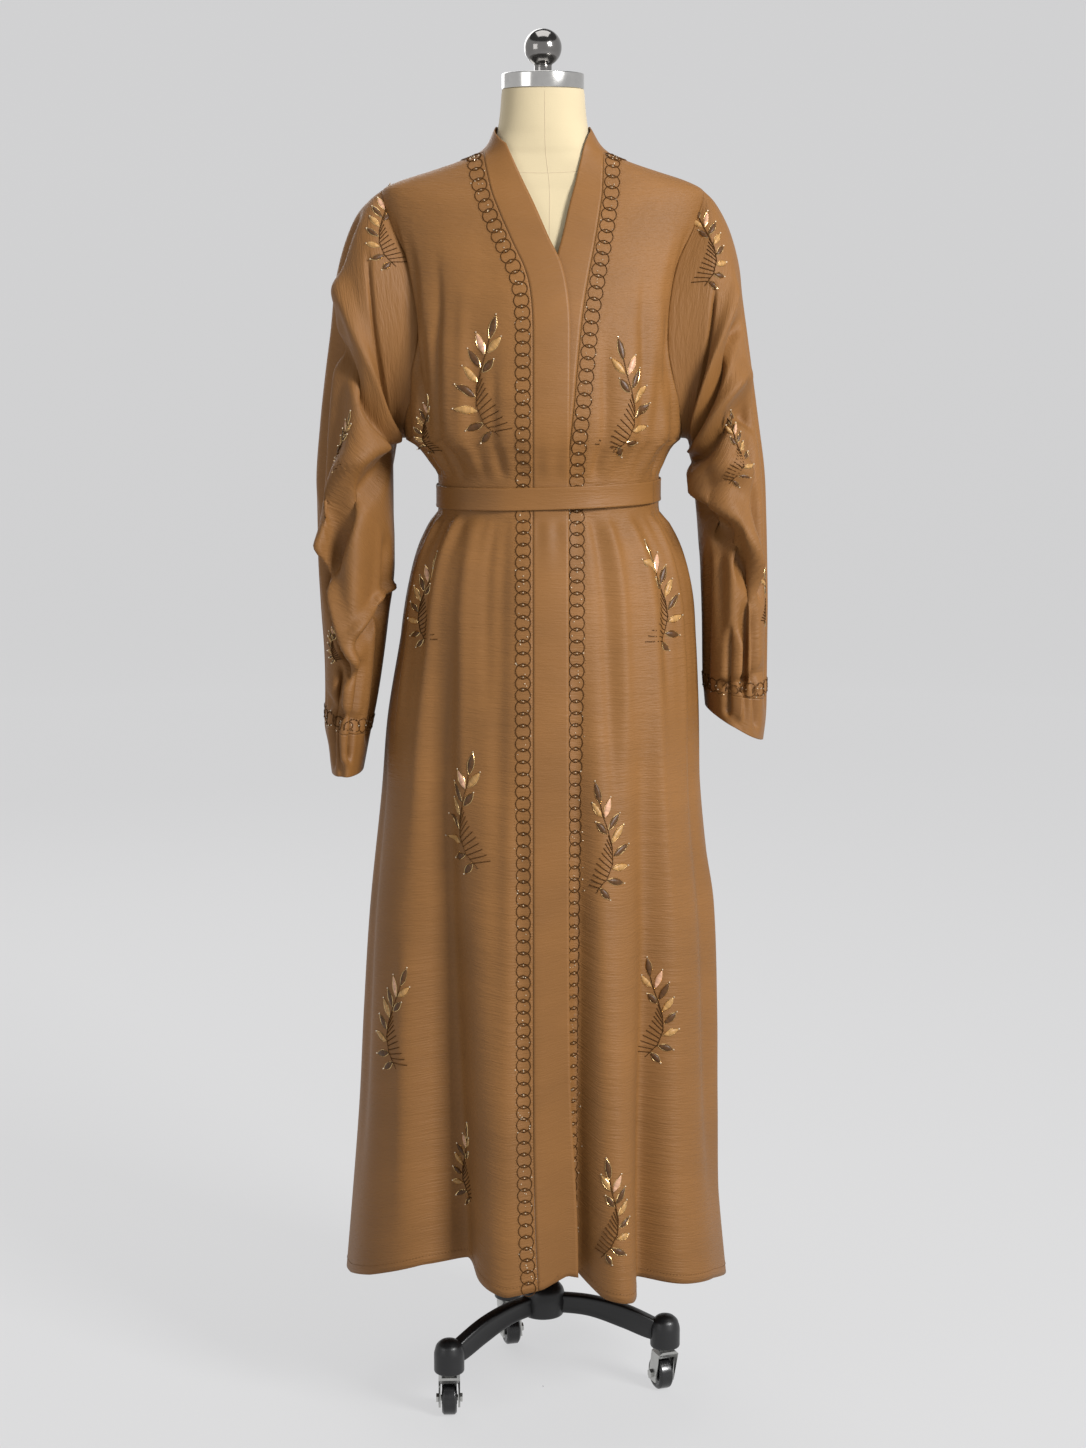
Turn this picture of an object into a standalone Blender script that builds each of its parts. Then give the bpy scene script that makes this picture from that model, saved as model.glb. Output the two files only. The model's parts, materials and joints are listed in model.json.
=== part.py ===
"""Open-front abaya with its own belt, on a limbless dress form and caster stand.

Metres, +Z up, the front faces -Y. The origin is on the floor below the form.
"Right" and "left" are the wearer's: the right side lies at -X.
"""
import math

import bmesh
import bpy
import numpy as np

COLLECTION = "abaya_on_dress_form"
WALL = 0.0015           # cloth wall
GAP = 0.0003            # clearance between neighbouring pieces
BELT_WALL = 0.0018
WRAP = 0.0034           # the right front lies this much outside the left one
UNDERARM = 1.251
SHOULDER = 1.556
NECK = 1.599
HEM_ROW = 0.19
BACK_SHIFT = 0.00390        # moves the whole part so that its box is centred

# Cloth rings: height, half width right, half width left, front and back depth.
RINGS = np.array((
    (0.140, 0.260, 0.242, 0.216, 0.208),
    (0.285, 0.247, 0.228, 0.209, 0.200),
    (0.395, 0.238, 0.223, 0.202, 0.193),
    (0.520, 0.231, 0.221, 0.194, 0.186),
    (0.650, 0.222, 0.216, 0.186, 0.178),
    (0.800, 0.206, 0.201, 0.175, 0.170),
    (0.900, 0.197, 0.195, 0.166, 0.162),
    (1.000, 0.180, 0.190, 0.154, 0.152),
    (1.060, 0.170, 0.185, 0.146, 0.145),
    (1.110, 0.157, 0.172, 0.137, 0.135),
    (1.145, 0.140, 0.155, 0.127, 0.121),
    (1.162, 0.131, 0.145, 0.121, 0.112),
    (1.202, 0.131, 0.145, 0.121, 0.112),
    (1.228, 0.145, 0.153, 0.129, 0.114),
    (1.242, 0.158, 0.162, 0.134, 0.115),
    (1.251, 0.172, 0.172, 0.137, 0.116),
    (1.280, 0.177, 0.176, 0.140, 0.116),
    (1.330, 0.180, 0.179, 0.136, 0.115),
    (1.400, 0.184, 0.183, 0.122, 0.112),
    (1.460, 0.190, 0.189, 0.104, 0.106),
    (1.520, 0.198, 0.198, 0.079, 0.092),
    (1.546, 0.200, 0.200, 0.067, 0.083),
    (1.556, 0.197, 0.196, 0.062, 0.079),
    (1.566, 0.176, 0.176, 0.058, 0.075),
    (1.577, 0.141, 0.142, 0.055, 0.071),
    (1.588, 0.108, 0.109, 0.053, 0.068),
    (1.599, 0.081, 0.083, 0.052, 0.066),
    (1.632, 0.0570, 0.0570, 0.0530, 0.0590),
))

# Form rings under the cloth, the same columns.
FORM_RINGS = np.array((
    (0.855, 0.152, 0.152, 0.120, 0.122),
    (0.862, 0.158, 0.158, 0.126, 0.128),
    (0.920, 0.166, 0.166, 0.132, 0.134),
    (1.000, 0.160, 0.160, 0.126, 0.128),
    (1.080, 0.142, 0.142, 0.114, 0.110),
    (1.130, 0.126, 0.126, 0.105, 0.096),
    (1.183, 0.116, 0.116, 0.100, 0.088),
    (1.230, 0.124, 0.124, 0.110, 0.092),
    (1.300, 0.146, 0.146, 0.129, 0.102),
    (1.380, 0.158, 0.158, 0.118, 0.104),
    (1.450, 0.170, 0.170, 0.099, 0.100),
    (1.510, 0.182, 0.182, 0.0755, 0.0895),
    (1.540, 0.188, 0.188, 0.0625, 0.0790),
    (1.553, 0.183, 0.183, 0.0570, 0.0750),
    (1.565, 0.168, 0.168, 0.0545, 0.0715),
    (1.576, 0.135, 0.135, 0.0520, 0.0680),
    (1.588, 0.1015, 0.1015, 0.0503, 0.0650),
    (1.598, 0.0765, 0.0765, 0.0493, 0.0625),
    (1.607, 0.0665, 0.0665, 0.0500, 0.0610),
    (1.620, 0.0585, 0.0585, 0.0500, 0.0580),
    (1.632, 0.0550, 0.0550, 0.0505, 0.0560),
    (1.650, 0.0525, 0.0525, 0.0500, 0.0535),
    (1.676, 0.0505, 0.0505, 0.0490, 0.0505),
))

# Large folds: angle at hem, angle at top, half width, depth at hem, top height,
# growth power. An angle of 0 is the front centre and +90 the left side.
FOLDS = np.array((
    (-28.0, -41.0, 8.5, -0.052, 1.09, 0.8),
    (-54.0, -60.0, 14.0, 0.010, 0.95, 1.0),
    (-11.0, -14.0, 9.0, 0.014, 1.00, 1.0),
    (21.5, 20.0, 6.5, 0.022, 0.95, 0.9),
    (34.5, 38.0, 5.5, -0.038, 0.98, 0.9),
    (53.0, 56.0, 11.0, 0.006, 0.90, 1.0),
    (121.0, 118.0, 8.0, -0.030, 1.06, 0.8),
    (149.0, 146.0, 8.0, -0.042, 1.10, 0.8),
    (176.0, 174.0, 10.0, 0.012, 1.00, 1.0),
    (203.0, 205.0, 8.5, -0.044, 1.10, 0.8),
    (232.0, 236.0, 8.0, -0.032, 1.06, 0.8),
))
# The valley beside the front edge, in the under layer only.
UNDER_FOLD = np.array(((11.5, 13.0, 4.2, -0.026, 1.05, 0.8),))
# Folds of the bodice: angle, half width, depth, low and high end.
BODICE_FOLDS = np.array((
    (-52.0, 6.0, -0.006, 1.215, 1.52),
    (-38.0, 5.0, 0.004, 1.215, 1.42),
    (-27.0, 5.0, -0.004, 1.215, 1.40),
    (50.0, 6.0, -0.005, 1.215, 1.50),
    (34.0, 5.0, 0.004, 1.215, 1.40),
    (140.0, 7.0, -0.005, 1.215, 1.50),
    (220.0, 7.0, -0.005, 1.215, 1.50),
))
# Hem height by angle.
HEM = np.array((
    (-90, 0.168), (-70, 0.184), (-53, 0.204), (-38, 0.227), (-28, 0.232), (-20, 0.218),
    (-10, 0.207), (0, 0.215), (7, 0.231), (11, 0.228), (17, 0.202), (25, 0.195),
    (29, 0.197), (34, 0.208), (46, 0.199), (60, 0.190), (75, 0.173), (90, 0.158),
    (105, 0.162), (121, 0.176), (135, 0.165), (149, 0.178), (176, 0.164), (203, 0.178),
    (217, 0.165), (232, 0.176), (250, 0.164), (270, 0.168),
))

# Seam and free edge of each front band: row height, seam x, free-edge height and x.
RIGHT_BAND = np.array((
    (0.190, -0.006, 0.190, 0.0435), (0.260, -0.009, 0.260, 0.0420),
    (0.460, -0.012, 0.460, 0.0330), (0.820, -0.012, 0.820, 0.0310),
    (1.170, -0.012, 1.170, 0.0305), (1.380, -0.012, 1.380, 0.0320),
    (1.4035, -0.0125, 1.405, 0.0315), (1.451, -0.019, 1.460, 0.0230),
    (1.493, -0.037, 1.498, 0.0060), (1.527, -0.052, 1.536, -0.0100),
    (1.549, -0.061, 1.560, -0.0210), (1.566, -0.066, 1.577, -0.0285),
    (1.588, -0.071, 1.599, -0.0380), (1.599, -0.0725, 1.610, -0.0430),
))
LEFT_BAND = np.array((
    (0.190, 0.0310, 0.190, -0.0060), (0.460, 0.0300, 0.460, -0.0120),
    (0.820, 0.0295, 0.820, -0.0140), (1.200, 0.0295, 1.200, -0.0140),
    (1.310, 0.0385, 1.310, -0.0120), (1.360, 0.0430, 1.362, -0.0100),
    (1.4035, 0.0475, 1.412, -0.0030), (1.451, 0.0550, 1.458, 0.0120),
    (1.493, 0.0630, 1.500, 0.0237), (1.527, 0.0685, 1.536, 0.0320),
    (1.549, 0.0715, 1.560, 0.0385), (1.566, 0.0725, 1.577, 0.0425),
    (1.588, 0.0735, 1.599, 0.0480), (1.599, 0.0740, 1.610, 0.0510),
))

# Sleeve rings after the armhole: outer x and z, inner x and z, half depth, mid y.
RIGHT_SLEEVE = np.array((
    (0.214, 1.543, 0.182, 1.250, 0.069, 0.002),
    (0.233, 1.521, 0.188, 1.238, 0.073, 0.003),
    (0.249, 1.481, 0.189, 1.215, 0.076, 0.004),
    (0.259, 1.435, 0.189, 1.185, 0.078, 0.004),
    (0.264, 1.387, 0.189, 1.155, 0.079, 0.004),
    (0.272, 1.327, 0.188, 1.122, 0.080, 0.003),
    (0.279, 1.265, 0.188, 1.095, 0.080, 0.002),
    (0.284, 1.195, 0.190, 1.065, 0.080, 0.000),
    (0.284, 1.118, 0.195, 1.032, 0.080, -0.002),
    (0.281, 1.045, 0.200, 0.992, 0.079, -0.004),
    (0.277, 0.985, 0.206, 0.950, 0.078, -0.006),
    (0.276, 0.935, 0.212, 0.915, 0.076, -0.008),
    (0.277, 0.893, 0.219, 0.882, 0.074, -0.010),
))
RIGHT_CUFF = np.array((
    (0.277, 0.893, 0.219, 0.882, 0.074, -0.010),
    (0.272, 0.862, 0.224, 0.857, 0.072, -0.011),
    (0.268, 0.832, 0.229, 0.832, 0.070, -0.012),
))
LEFT_SLEEVE = np.array((
    (0.213, 1.539, 0.181, 1.249, 0.069, 0.002),
    (0.230, 1.508, 0.186, 1.232, 0.073, 0.003),
    (0.242, 1.468, 0.188, 1.205, 0.076, 0.004),
    (0.248, 1.425, 0.192, 1.175, 0.078, 0.004),
    (0.254, 1.385, 0.195, 1.145, 0.079, 0.004),
    (0.262, 1.328, 0.197, 1.118, 0.080, 0.003),
    (0.270, 1.270, 0.199, 1.095, 0.080, 0.002),
    (0.278, 1.210, 0.200, 1.070, 0.080, 0.001),
    (0.281, 1.150, 0.201, 1.045, 0.080, 0.000),
    (0.283, 1.085, 0.202, 1.015, 0.080, 0.000),
    (0.284, 1.030, 0.2025, 0.985, 0.079, 0.000),
    (0.284, 0.970, 0.203, 0.958, 0.078, 0.000),
    (0.284, 0.925, 0.204, 0.940, 0.076, 0.000),
))
LEFT_CUFF = np.array((
    (0.284, 0.925, 0.204, 0.940, 0.076, 0.000),
    (0.283, 0.897, 0.2055, 0.926, 0.075, 0.000),
    (0.280, 0.870, 0.207, 0.912, 0.074, 0.000),
))
# Sleeve folds: ring angle, half width, depth, place along the sleeve, length.
RIGHT_SLEEVE_FOLDS = np.array((
    (58.0, 16.0, -0.011, 0.45, 0.22), (95.0, 16.0, 0.006, 0.45, 0.25),
    (130.0, 15.0, -0.009, 0.62, 0.25), (80.0, 14.0, -0.008, 0.85, 0.20),
    (250.0, 18.0, -0.010, 0.50, 0.25), (300.0, 16.0, -0.008, 0.75, 0.25),
))
LEFT_SLEEVE_FOLDS = np.array((
    (50.0, 15.0, -0.009, 0.40, 0.22), (120.0, 14.0, -0.010, 0.50, 0.20),
    (85.0, 15.0, -0.009, 0.75, 0.25), (245.0, 18.0, -0.010, 0.50, 0.25),
    (295.0, 16.0, -0.008, 0.72, 0.25),
))

SIDES = 20              # points round a sleeve
ARM_DIP = 32.0          # how far the armhole cuts into the front and back, degrees
LOW_ROWS = (0.19, 0.235, 0.30, 0.38, 0.47, 0.57, 0.67, 0.77, 0.86, 0.94, 1.01, 1.07,
            1.12, 1.145, 1.162, 1.202, 1.225, 1.241)
TOP_ROWS = (1.566, 1.577, 1.588, 1.599)
FRONT_COLUMNS = 10
BACK_STEP = 9.0

BELT_HEIGHT = 0.027
BELT_LEVEL = 1.183

HUB_Y = 0.008
LEG_REACH = 0.162
LEG_ANGLES = (222.0, 352.0, 107.0)
CASTER_TURNS = (2.0, 22.0, 195.0)
BOSS_RADIUS = 0.0195
BOSS_BOTTOM = 0.062
WHEEL_RADIUS = 0.0215
WHEEL_WIDTH = 0.020
TRAIL = 0.012
PIN_RADIUS = 0.004

MATERIALS = {
    "abaya_cloth": ((0.33, 0.17, 0.075), 0.62, 0.0),
    "band_cloth": ((0.31, 0.16, 0.07), 0.55, 0.0),
    "belt_cloth": ((0.30, 0.155, 0.068), 0.55, 0.0),
    "form_cloth": ((0.80, 0.70, 0.50), 0.85, 0.0),
    "polished_steel": ((0.55, 0.54, 0.52), 0.22, 1.0),
    "dark_polished_steel": ((0.30, 0.29, 0.28), 0.18, 1.0),
    "pole_steel": ((0.50, 0.50, 0.50), 0.30, 1.0),
    "black_satin_paint": ((0.012, 0.012, 0.012), 0.38, 0.0),
    "zinc_plate": ((0.50, 0.50, 0.48), 0.34, 1.0),
    "black_wheel_plastic": ((0.015, 0.015, 0.015), 0.25, 0.0),
}


def smoothstep(value):
    value = np.clip(value, 0.0, 1.0)
    return value * value * (3.0 - 2.0 * value)


def spline(table, at):
    """Smooth curve through a table's rows, without overshoot between them."""
    x, y = table[:, 0], table[:, 1:]
    step = np.diff(x)[:, None]
    slope = np.diff(y, axis=0) / step
    tangent = np.vstack((slope[:1], (slope[1:] + slope[:-1]) / 2.0, slope[-1:]))
    same = slope[1:] * slope[:-1] > 0.0
    limit = 3.0 * np.minimum(np.abs(slope[1:]), np.abs(slope[:-1]))
    inner = np.sign(tangent[1:-1]) * np.minimum(np.abs(tangent[1:-1]), limit)
    tangent[1:-1] = np.where(same, inner, 0.0)
    at = np.asarray(at, float)
    i = np.clip(np.searchsorted(x, at) - 1, 0, len(x) - 2)
    h = (x[i + 1] - x[i])[..., None]
    t = np.clip((at - x[i])[..., None] / h, 0.0, 1.0)
    a, b = (1 + 2 * t) * (1 - t) ** 2, t * (1 - t) ** 2
    c, d = t * t * (3 - 2 * t), t * t * (t - 1)
    return a * y[i] + b * h * tangent[i] + c * y[i + 1] + d * h * tangent[i + 1]


def turn_distance(angle, centre):
    return (angle - centre + 180.0) % 360.0 - 180.0


def fold_depth(angle, height, under):
    """Sum of the soft ridges and valleys at each point."""
    depth = np.zeros(np.broadcast(angle, height).shape)
    for hem, top, width, size, start, power in np.vstack((FOLDS, UNDER_FOLD)):
        if hem == UNDER_FOLD[0, 0] and not under:
            continue
        down = np.clip((start - height) / (start - HEM_ROW), 0.0, 1.1)
        near = turn_distance(angle, top + (hem - top) * np.minimum(down, 1.0)) / width
        depth += size * down ** power * smoothstep(down * 6.0) * np.exp(-near ** 2)
    for centre, width, size, low, high in BODICE_FOLDS:
        rise = smoothstep((height - low) / 0.05) * smoothstep((high - height) / 0.06)
        depth += size * rise * np.exp(-(turn_distance(angle, centre) / width) ** 2)
    return depth


def ring_point(table, angle, height):
    """Point on the ring of a table at an angle in degrees and a height."""
    right, left, front, back = np.moveaxis(spline(table, height), -1, 0)
    turn = np.radians(angle)
    sine, cosine = np.sin(turn), np.cos(turn)
    across = (left + right) / 2 + (left - right) / 2 * sine
    deep = (front + back) / 2 + (front - back) / 2 * cosine
    fuller = 1.0 + 0.045 * np.sin(2 * turn) ** 2
    return across * sine * fuller, -deep * cosine * fuller


def body_point(angle, height, lift=0.0, under=True):
    """Middle surface of the garment; lift moves it outwards."""
    angle, height = np.broadcast_arrays(np.asarray(angle, float), np.asarray(height, float))
    x, y = ring_point(RINGS, angle, height)
    reach = np.hypot(x, y)
    scale = 1.0 + (fold_depth(angle, height, under) + lift) / reach
    return np.stack((x * scale, y * scale + BACK_SHIFT, height), axis=-1)


def wrap_lift(x, angle):
    """The right front climbs over the left one near the front centre."""
    front = smoothstep(np.cos(np.radians(angle)) / 0.45)
    return WRAP * smoothstep((x + 0.080) / 0.045) * front


def right_surface(angle, height):
    x, _ = ring_point(RINGS, np.asarray(angle, float), np.asarray(height, float))
    return body_point(angle, height, wrap_lift(x, angle), under=False)


def left_surface(angle, height):
    return body_point(angle, height)


def angle_at(x, height):
    """Angle of the front point of a ring that lies at x."""
    low, high = np.full(np.shape(height), -89.9), np.full(np.shape(height), 89.9)
    for _ in range(40):
        middle = (low + high) / 2
        less = ring_point(RINGS, middle, height)[0] < x
        low, high = np.where(less, middle, low), np.where(less, high, middle)
    return (low + high) / 2


def hem_shift(angle, height):
    """Lets the lowest rows follow the hem's own curve."""
    wanted = np.interp((np.asarray(angle) + 90.0) % 360.0 - 90.0, HEM[:, 0], HEM[:, 1])
    share = np.clip((0.95 - height) / (0.95 - HEM_ROW), 0.0, 1.0)
    return height + (wanted - HEM_ROW) * share


def surface_normals(surface, angle, height):
    step_a, step_h = 0.05, 0.0004
    along = surface(angle + step_a, height) - surface(angle - step_a, height)
    up = surface(angle, height + step_h) - surface(angle, height - step_h)
    normal = np.cross(along, up)
    return normal / np.linalg.norm(normal, axis=-1, keepdims=True)


def grid_normals(points):
    """Normals of a grid whose rows close on themselves."""
    along = np.roll(points, -1, axis=1) - np.roll(points, 1, axis=1)
    down = np.gradient(points, axis=0)
    normal = np.cross(along, down)
    return normal / np.linalg.norm(normal, axis=-1, keepdims=True)


def material(name):
    found = bpy.data.materials.get(name)
    if found:
        return found
    color, roughness, metallic = MATERIALS[name]
    made = bpy.data.materials.new(name)
    made.use_nodes = True
    shader = made.node_tree.nodes["Principled BSDF"]
    shader.inputs["Base Color"].default_value = (*color, 1.0)
    shader.inputs["Roughness"].default_value = roughness
    shader.inputs["Metallic"].default_value = metallic
    return made


def finish(obj, material_name, angle=40.0):
    """Puts an object in the part's collection with its material and shading."""
    home = bpy.data.collections[COLLECTION]
    for held in list(obj.users_collection):
        held.objects.unlink(obj)
    home.objects.link(obj)
    obj.data.materials.clear()
    obj.data.materials.append(material(material_name))
    obj.data.shade_smooth()
    obj.data.set_sharp_from_angle(angle=math.radians(angle))
    return obj


def mesh_object(name, points, faces, material_name, angle=50.0):
    mesh = bpy.data.meshes.new(name)
    mesh.from_pydata([tuple(p) for p in points], [], [tuple(int(i) for i in f) for f in faces])
    obj = bpy.data.objects.new(name, mesh)
    bpy.context.scene.collection.objects.link(obj)
    tidy_normals(obj)
    return finish(obj, material_name, angle)


def tidy_normals(obj):
    """Turns the faces outwards."""
    work = bmesh.new()
    work.from_mesh(obj.data)
    bmesh.ops.recalc_face_normals(work, faces=work.faces)
    work.to_mesh(obj.data)
    work.free()


def shell(name, points, normals, wall, material_name, closed=False):
    """Closed cloth piece: a grid outside, one inside with the same diagonals, and edge walls."""
    rows, columns = points.shape[:2]
    outer, inner = points + normals * wall / 2, points - normals * wall / 2
    index = np.arange(rows * columns).reshape(rows, columns)
    if closed:
        index = np.hstack((index, index[:, :1]))
    a, b = index[:-1, :-1].ravel(), index[:-1, 1:].ravel()
    c, d = index[1:, 1:].ravel(), index[1:, :-1].ravel()
    count = rows * columns
    flat = points.reshape(-1, 3)
    other = np.linalg.norm(flat[b] - flat[d], axis=1) < np.linalg.norm(flat[a] - flat[c], axis=1)
    first = np.stack((a, b, np.where(other, d, c)), 1)
    second = np.stack((np.where(other, b, a), c, d), 1)
    faces = [first, second, first[:, ::-1] + count, second[:, ::-1] + count]
    edges = [index[0], index[-1][::-1]]
    if not closed:
        edges += [index[:, 0][::-1], index[:, -1]]
    for edge in edges:
        p, q = edge[:-1], edge[1:]
        faces.append(np.stack((q, p, p + count), 1))
        faces.append(np.stack((q, p + count, q + count), 1))
    everything = np.vstack((outer.reshape(-1, 3), inner.reshape(-1, 3)))
    return mesh_object(name, everything, np.vstack(faces), material_name)


def arm_rows():
    turn = np.radians(np.linspace(180.0, 0.0, SIDES // 2 + 1))
    middle, half = (SHOULDER + UNDERARM) / 2, (SHOULDER - UNDERARM) / 2
    return middle + half * np.cos(turn)


def panel_rows():
    return np.concatenate((LOW_ROWS, arm_rows(), TOP_ROWS))


def side_angle(height):
    """Angle of the side seam and armhole edge, counted from the front."""
    middle, half = (SHOULDER + UNDERARM) / 2, (SHOULDER - UNDERARM) / 2
    level = np.clip((height - middle) / half, -1.0, 1.0)
    return 90.0 - ARM_DIP * np.sqrt(1.0 - level ** 2)


def gap_angle(angle, height, distance):
    """Degrees that a distance along the ring takes up."""
    x0, y0 = ring_point(RINGS, angle - 0.5, height)
    x1, y1 = ring_point(RINGS, angle + 0.5, height)
    return distance / np.hypot(x1 - x0, y1 - y0)


def front_panel(name, side, band, surface):
    rows = panel_rows()
    seam_x = spline(band, rows)[:, 0]
    first = angle_at(seam_x, rows)
    last = side * side_angle(rows)
    first = first + side * gap_angle(first, rows, GAP / 2)
    last = last - side * gap_angle(last, rows, GAP / 2)
    share = np.linspace(0.0, 1.0, FRONT_COLUMNS + 1) ** 0.95
    angle = first[:, None] + (last - first)[:, None] * share
    height = hem_shift(angle, rows[:, None] + 0 * angle)
    if side < 0:
        angle, height = angle[:, ::-1], height[:, ::-1]
    points = surface(angle, height)
    shell(name, points, surface_normals(surface, angle, height), WALL, "abaya_cloth")


def back_panel():
    rows = panel_rows()
    start = 180.0 - side_angle(rows)
    start = start + gap_angle(start, rows, GAP / 2)
    count = int(round(180.0 / BACK_STEP))
    share = np.linspace(0.0, 1.0, count + 1)
    angle = start[:, None] + (360.0 - 2 * start)[:, None] * share
    height = hem_shift(angle, rows[:, None] + 0 * angle)
    points = left_surface(angle, height)
    normals = surface_normals(left_surface, angle, height)
    shell("back_panel", points, normals, WALL, "abaya_cloth")


def band_edges(side, band):
    """Seam edge and free edge of a band as angles and heights, hem to centre back."""
    rows = panel_rows()
    seam_x, free_height, free_x = spline(band, rows).T
    seam = np.stack((angle_at(seam_x, rows), rows), 1)
    free = np.stack((angle_at(free_x, free_height), free_height), 1)
    round_seam = np.array((75.0, 90.0, 99.0, 108.0, 117.0, 126.0, 135.0, 144.0,
                           153.0, 162.0, 171.0, 179.85))
    round_free = np.array((58.0, 79.0, 93.0, 105.0, 116.0, 126.0, 135.0, 144.0,
                           153.0, 162.0, 171.0, 179.85))
    free_level = np.array((1.6210, 1.6295, 1.632) + (1.632,) * 9)
    above = NECK + 0 * round_seam
    seam = np.vstack((seam, np.stack((side * round_seam, above), 1)))
    free = np.vstack((free, np.stack((side * round_free, free_level), 1)))
    return seam, free


def neck_band(name, side, band, surface):
    seam, free = band_edges(side, band)
    count = len(panel_rows())
    shift = gap_angle(seam[:, 0], seam[:, 1], GAP / 2)
    seam[:count, 0] -= side * shift[:count]
    seam[count:, 1] += GAP
    seam[count - 1, 1] += GAP
    share = np.linspace(0.0, 1.0, 3)
    angle = seam[:, :1] + (free[:, :1] - seam[:, :1]) * share
    height = seam[:, 1:] + (free[:, 1:] - seam[:, 1:]) * share
    height = hem_shift(angle, height)
    if side > 0:
        angle, height = angle[:, ::-1], height[:, ::-1]
    normals = surface_normals(surface, angle, height)
    shell(name, surface(angle, height), normals, WALL, "band_cloth")


def armhole_loop(side):
    """Points and normals round the armhole: top, front, bottom, back."""
    ring = np.arange(SIDES) * 360.0 / SIDES
    turn = np.radians(ring)
    middle, half = (SHOULDER + UNDERARM) / 2, (SHOULDER - UNDERARM) / 2
    height = middle + half * np.cos(turn)
    angle = 90.0 - ARM_DIP * np.sin(turn)
    surface = right_surface if side < 0 else left_surface
    points = surface(side * angle, height)
    normals = surface_normals(surface, side * angle, height)
    along = np.roll(points, -1, axis=0) - np.roll(points, 1, axis=0)
    inward = np.cross(normals, along)
    inward = inward / np.linalg.norm(inward, axis=-1, keepdims=True)
    facing = np.sum(inward * (points.mean(axis=0) - points), axis=-1, keepdims=True)
    return points + inward * np.sign(facing) * (GAP + 0.0001), normals


def sleeve_rings(side, table, folds, along):
    """Grid of sleeve rings, each an ellipse between its outer and inner point."""
    turn = np.radians(np.arange(SIDES) * 360.0 / SIDES)
    rows = []
    for (ox, oz, ix, iz, deep, mid_y), place in zip(table, along):
        push = np.zeros(SIDES)
        for centre, width, size, at, length in folds:
            near = turn_distance(np.degrees(turn), centre) / width
            push += size * np.exp(-near ** 2 - ((place - at) / length) ** 2)
        wide = 1.0 + push / 0.06
        x = (ox + ix) / 2 + (ox - ix) / 2 * np.cos(turn) * wide
        z = (oz + iz) / 2 + (oz - iz) / 2 * np.cos(turn)
        y = mid_y - deep * np.sin(turn) * wide
        rows.append(np.stack((side * x, y + BACK_SHIFT, z), 1))
    return np.array(rows)


def sleeve(side, name, table, folds, cuff_name, cuff_table):
    steps = np.linspace(0.0, 1.0, len(table) + len(cuff_table) - 1)
    rings = sleeve_rings(side, table, folds, steps[:len(table)])
    cuff = sleeve_rings(side, cuff_table, folds, steps[len(table) - 1:])
    loop, loop_normals = armhole_loop(side)
    whole = np.concatenate((loop[None], rings, cuff[1:]))
    normals = grid_normals(whole) * side
    normals[0] = loop_normals
    split = len(table)
    upper, lower = whole[:split + 1].copy(), whole[split:].copy()
    along = whole[split + 1] - whole[split]
    along = along / np.linalg.norm(along, axis=-1, keepdims=True)
    upper[-1] -= along * GAP / 2
    lower[0] += along * GAP / 2
    shell(name, upper, normals[:split + 1], WALL, "abaya_cloth", closed=True)
    shell(cuff_name, lower, normals[split:], WALL, "band_cloth", closed=True)


def belt():
    """One strip wound a little over once round the waist, its end on the outside."""
    turn = np.arange(30.0, 30.0 + 392.1, 7.0)
    angle = turn[:, None] + np.zeros(3)
    across = np.linspace(-0.5, 0.5, 3) * BELT_HEIGHT
    lap = smoothstep((turn - 355.0) / 32.0)
    tuck = smoothstep((75.0 - turn) / 25.0)
    level = BELT_LEVEL + 0.004 * np.sin(np.radians(turn)) - 0.0016 * tuck
    height = level[:, None] + across
    x, _ = ring_point(RINGS, angle, height)
    over = smoothstep((x + 0.088) / 0.045) * smoothstep((0.092 - x) / 0.045)
    front = np.cos(np.radians(angle)) > 0.0
    clear = WALL / 2 + BELT_WALL / 2 + 0.0008
    lift = clear + WRAP * over * front + lap[:, None] * (BELT_WALL + 0.0008)

    def surface(around, up):
        return body_point(around, up, lift)

    normals = surface_normals(surface, angle, height)
    points = surface(angle, height)
    shell("belt", points.transpose(1, 0, 2), normals.transpose(1, 0, 2), BELT_WALL, "belt_cloth")


def form_torso():
    """Solid limbless form: closed rings with a flat bottom and a flat neck top."""
    rows = FORM_RINGS[:, 0]
    angle = np.arange(0.0, 360.0, 12.0)
    x, y = ring_point(FORM_RINGS, angle[None, :] + 0 * rows[:, None], rows[:, None] + 0 * angle)
    height = rows[:, None] + 0 * angle
    points = np.stack((x, y + BACK_SHIFT, height), -1).reshape(-1, 3)
    columns = len(angle)
    index = np.arange(len(points)).reshape(len(rows), columns)
    index = np.hstack((index, index[:, :1]))
    a, b = index[:-1, :-1].ravel(), index[:-1, 1:].ravel()
    c, d = index[1:, 1:].ravel(), index[1:, :-1].ravel()
    faces = [tuple(f) for f in np.stack((a, b, c, d), 1)]
    faces += [tuple(index[0, :-1][::-1]), tuple(index[-1, :-1])]
    mesh_object("form_torso", points, faces, "form_cloth", angle=60.0)


def turned(name, profile, material_name, steps=28, at=(0.0, 0.0, 0.0), keep=True):
    """Turned piece from its outer profile, given top to bottom as radius and height."""
    mesh = bpy.data.meshes.new(name)
    points = [(r, 0.0, z) for r, z in profile]
    mesh.from_pydata(points, [(i, i + 1) for i in range(len(points) - 1)], [])
    obj = bpy.data.objects.new(name, mesh)
    bpy.data.collections[COLLECTION].objects.link(obj)
    screw = obj.modifiers.new("turn", "SCREW")
    screw.steps = screw.render_steps = steps
    screw.use_merge_vertices = True
    screw.merge_threshold = 0.00001
    screw.use_smooth_shade = True
    obj.location = at
    return finish_mesh(obj, name, material_name) if keep else obj


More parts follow.
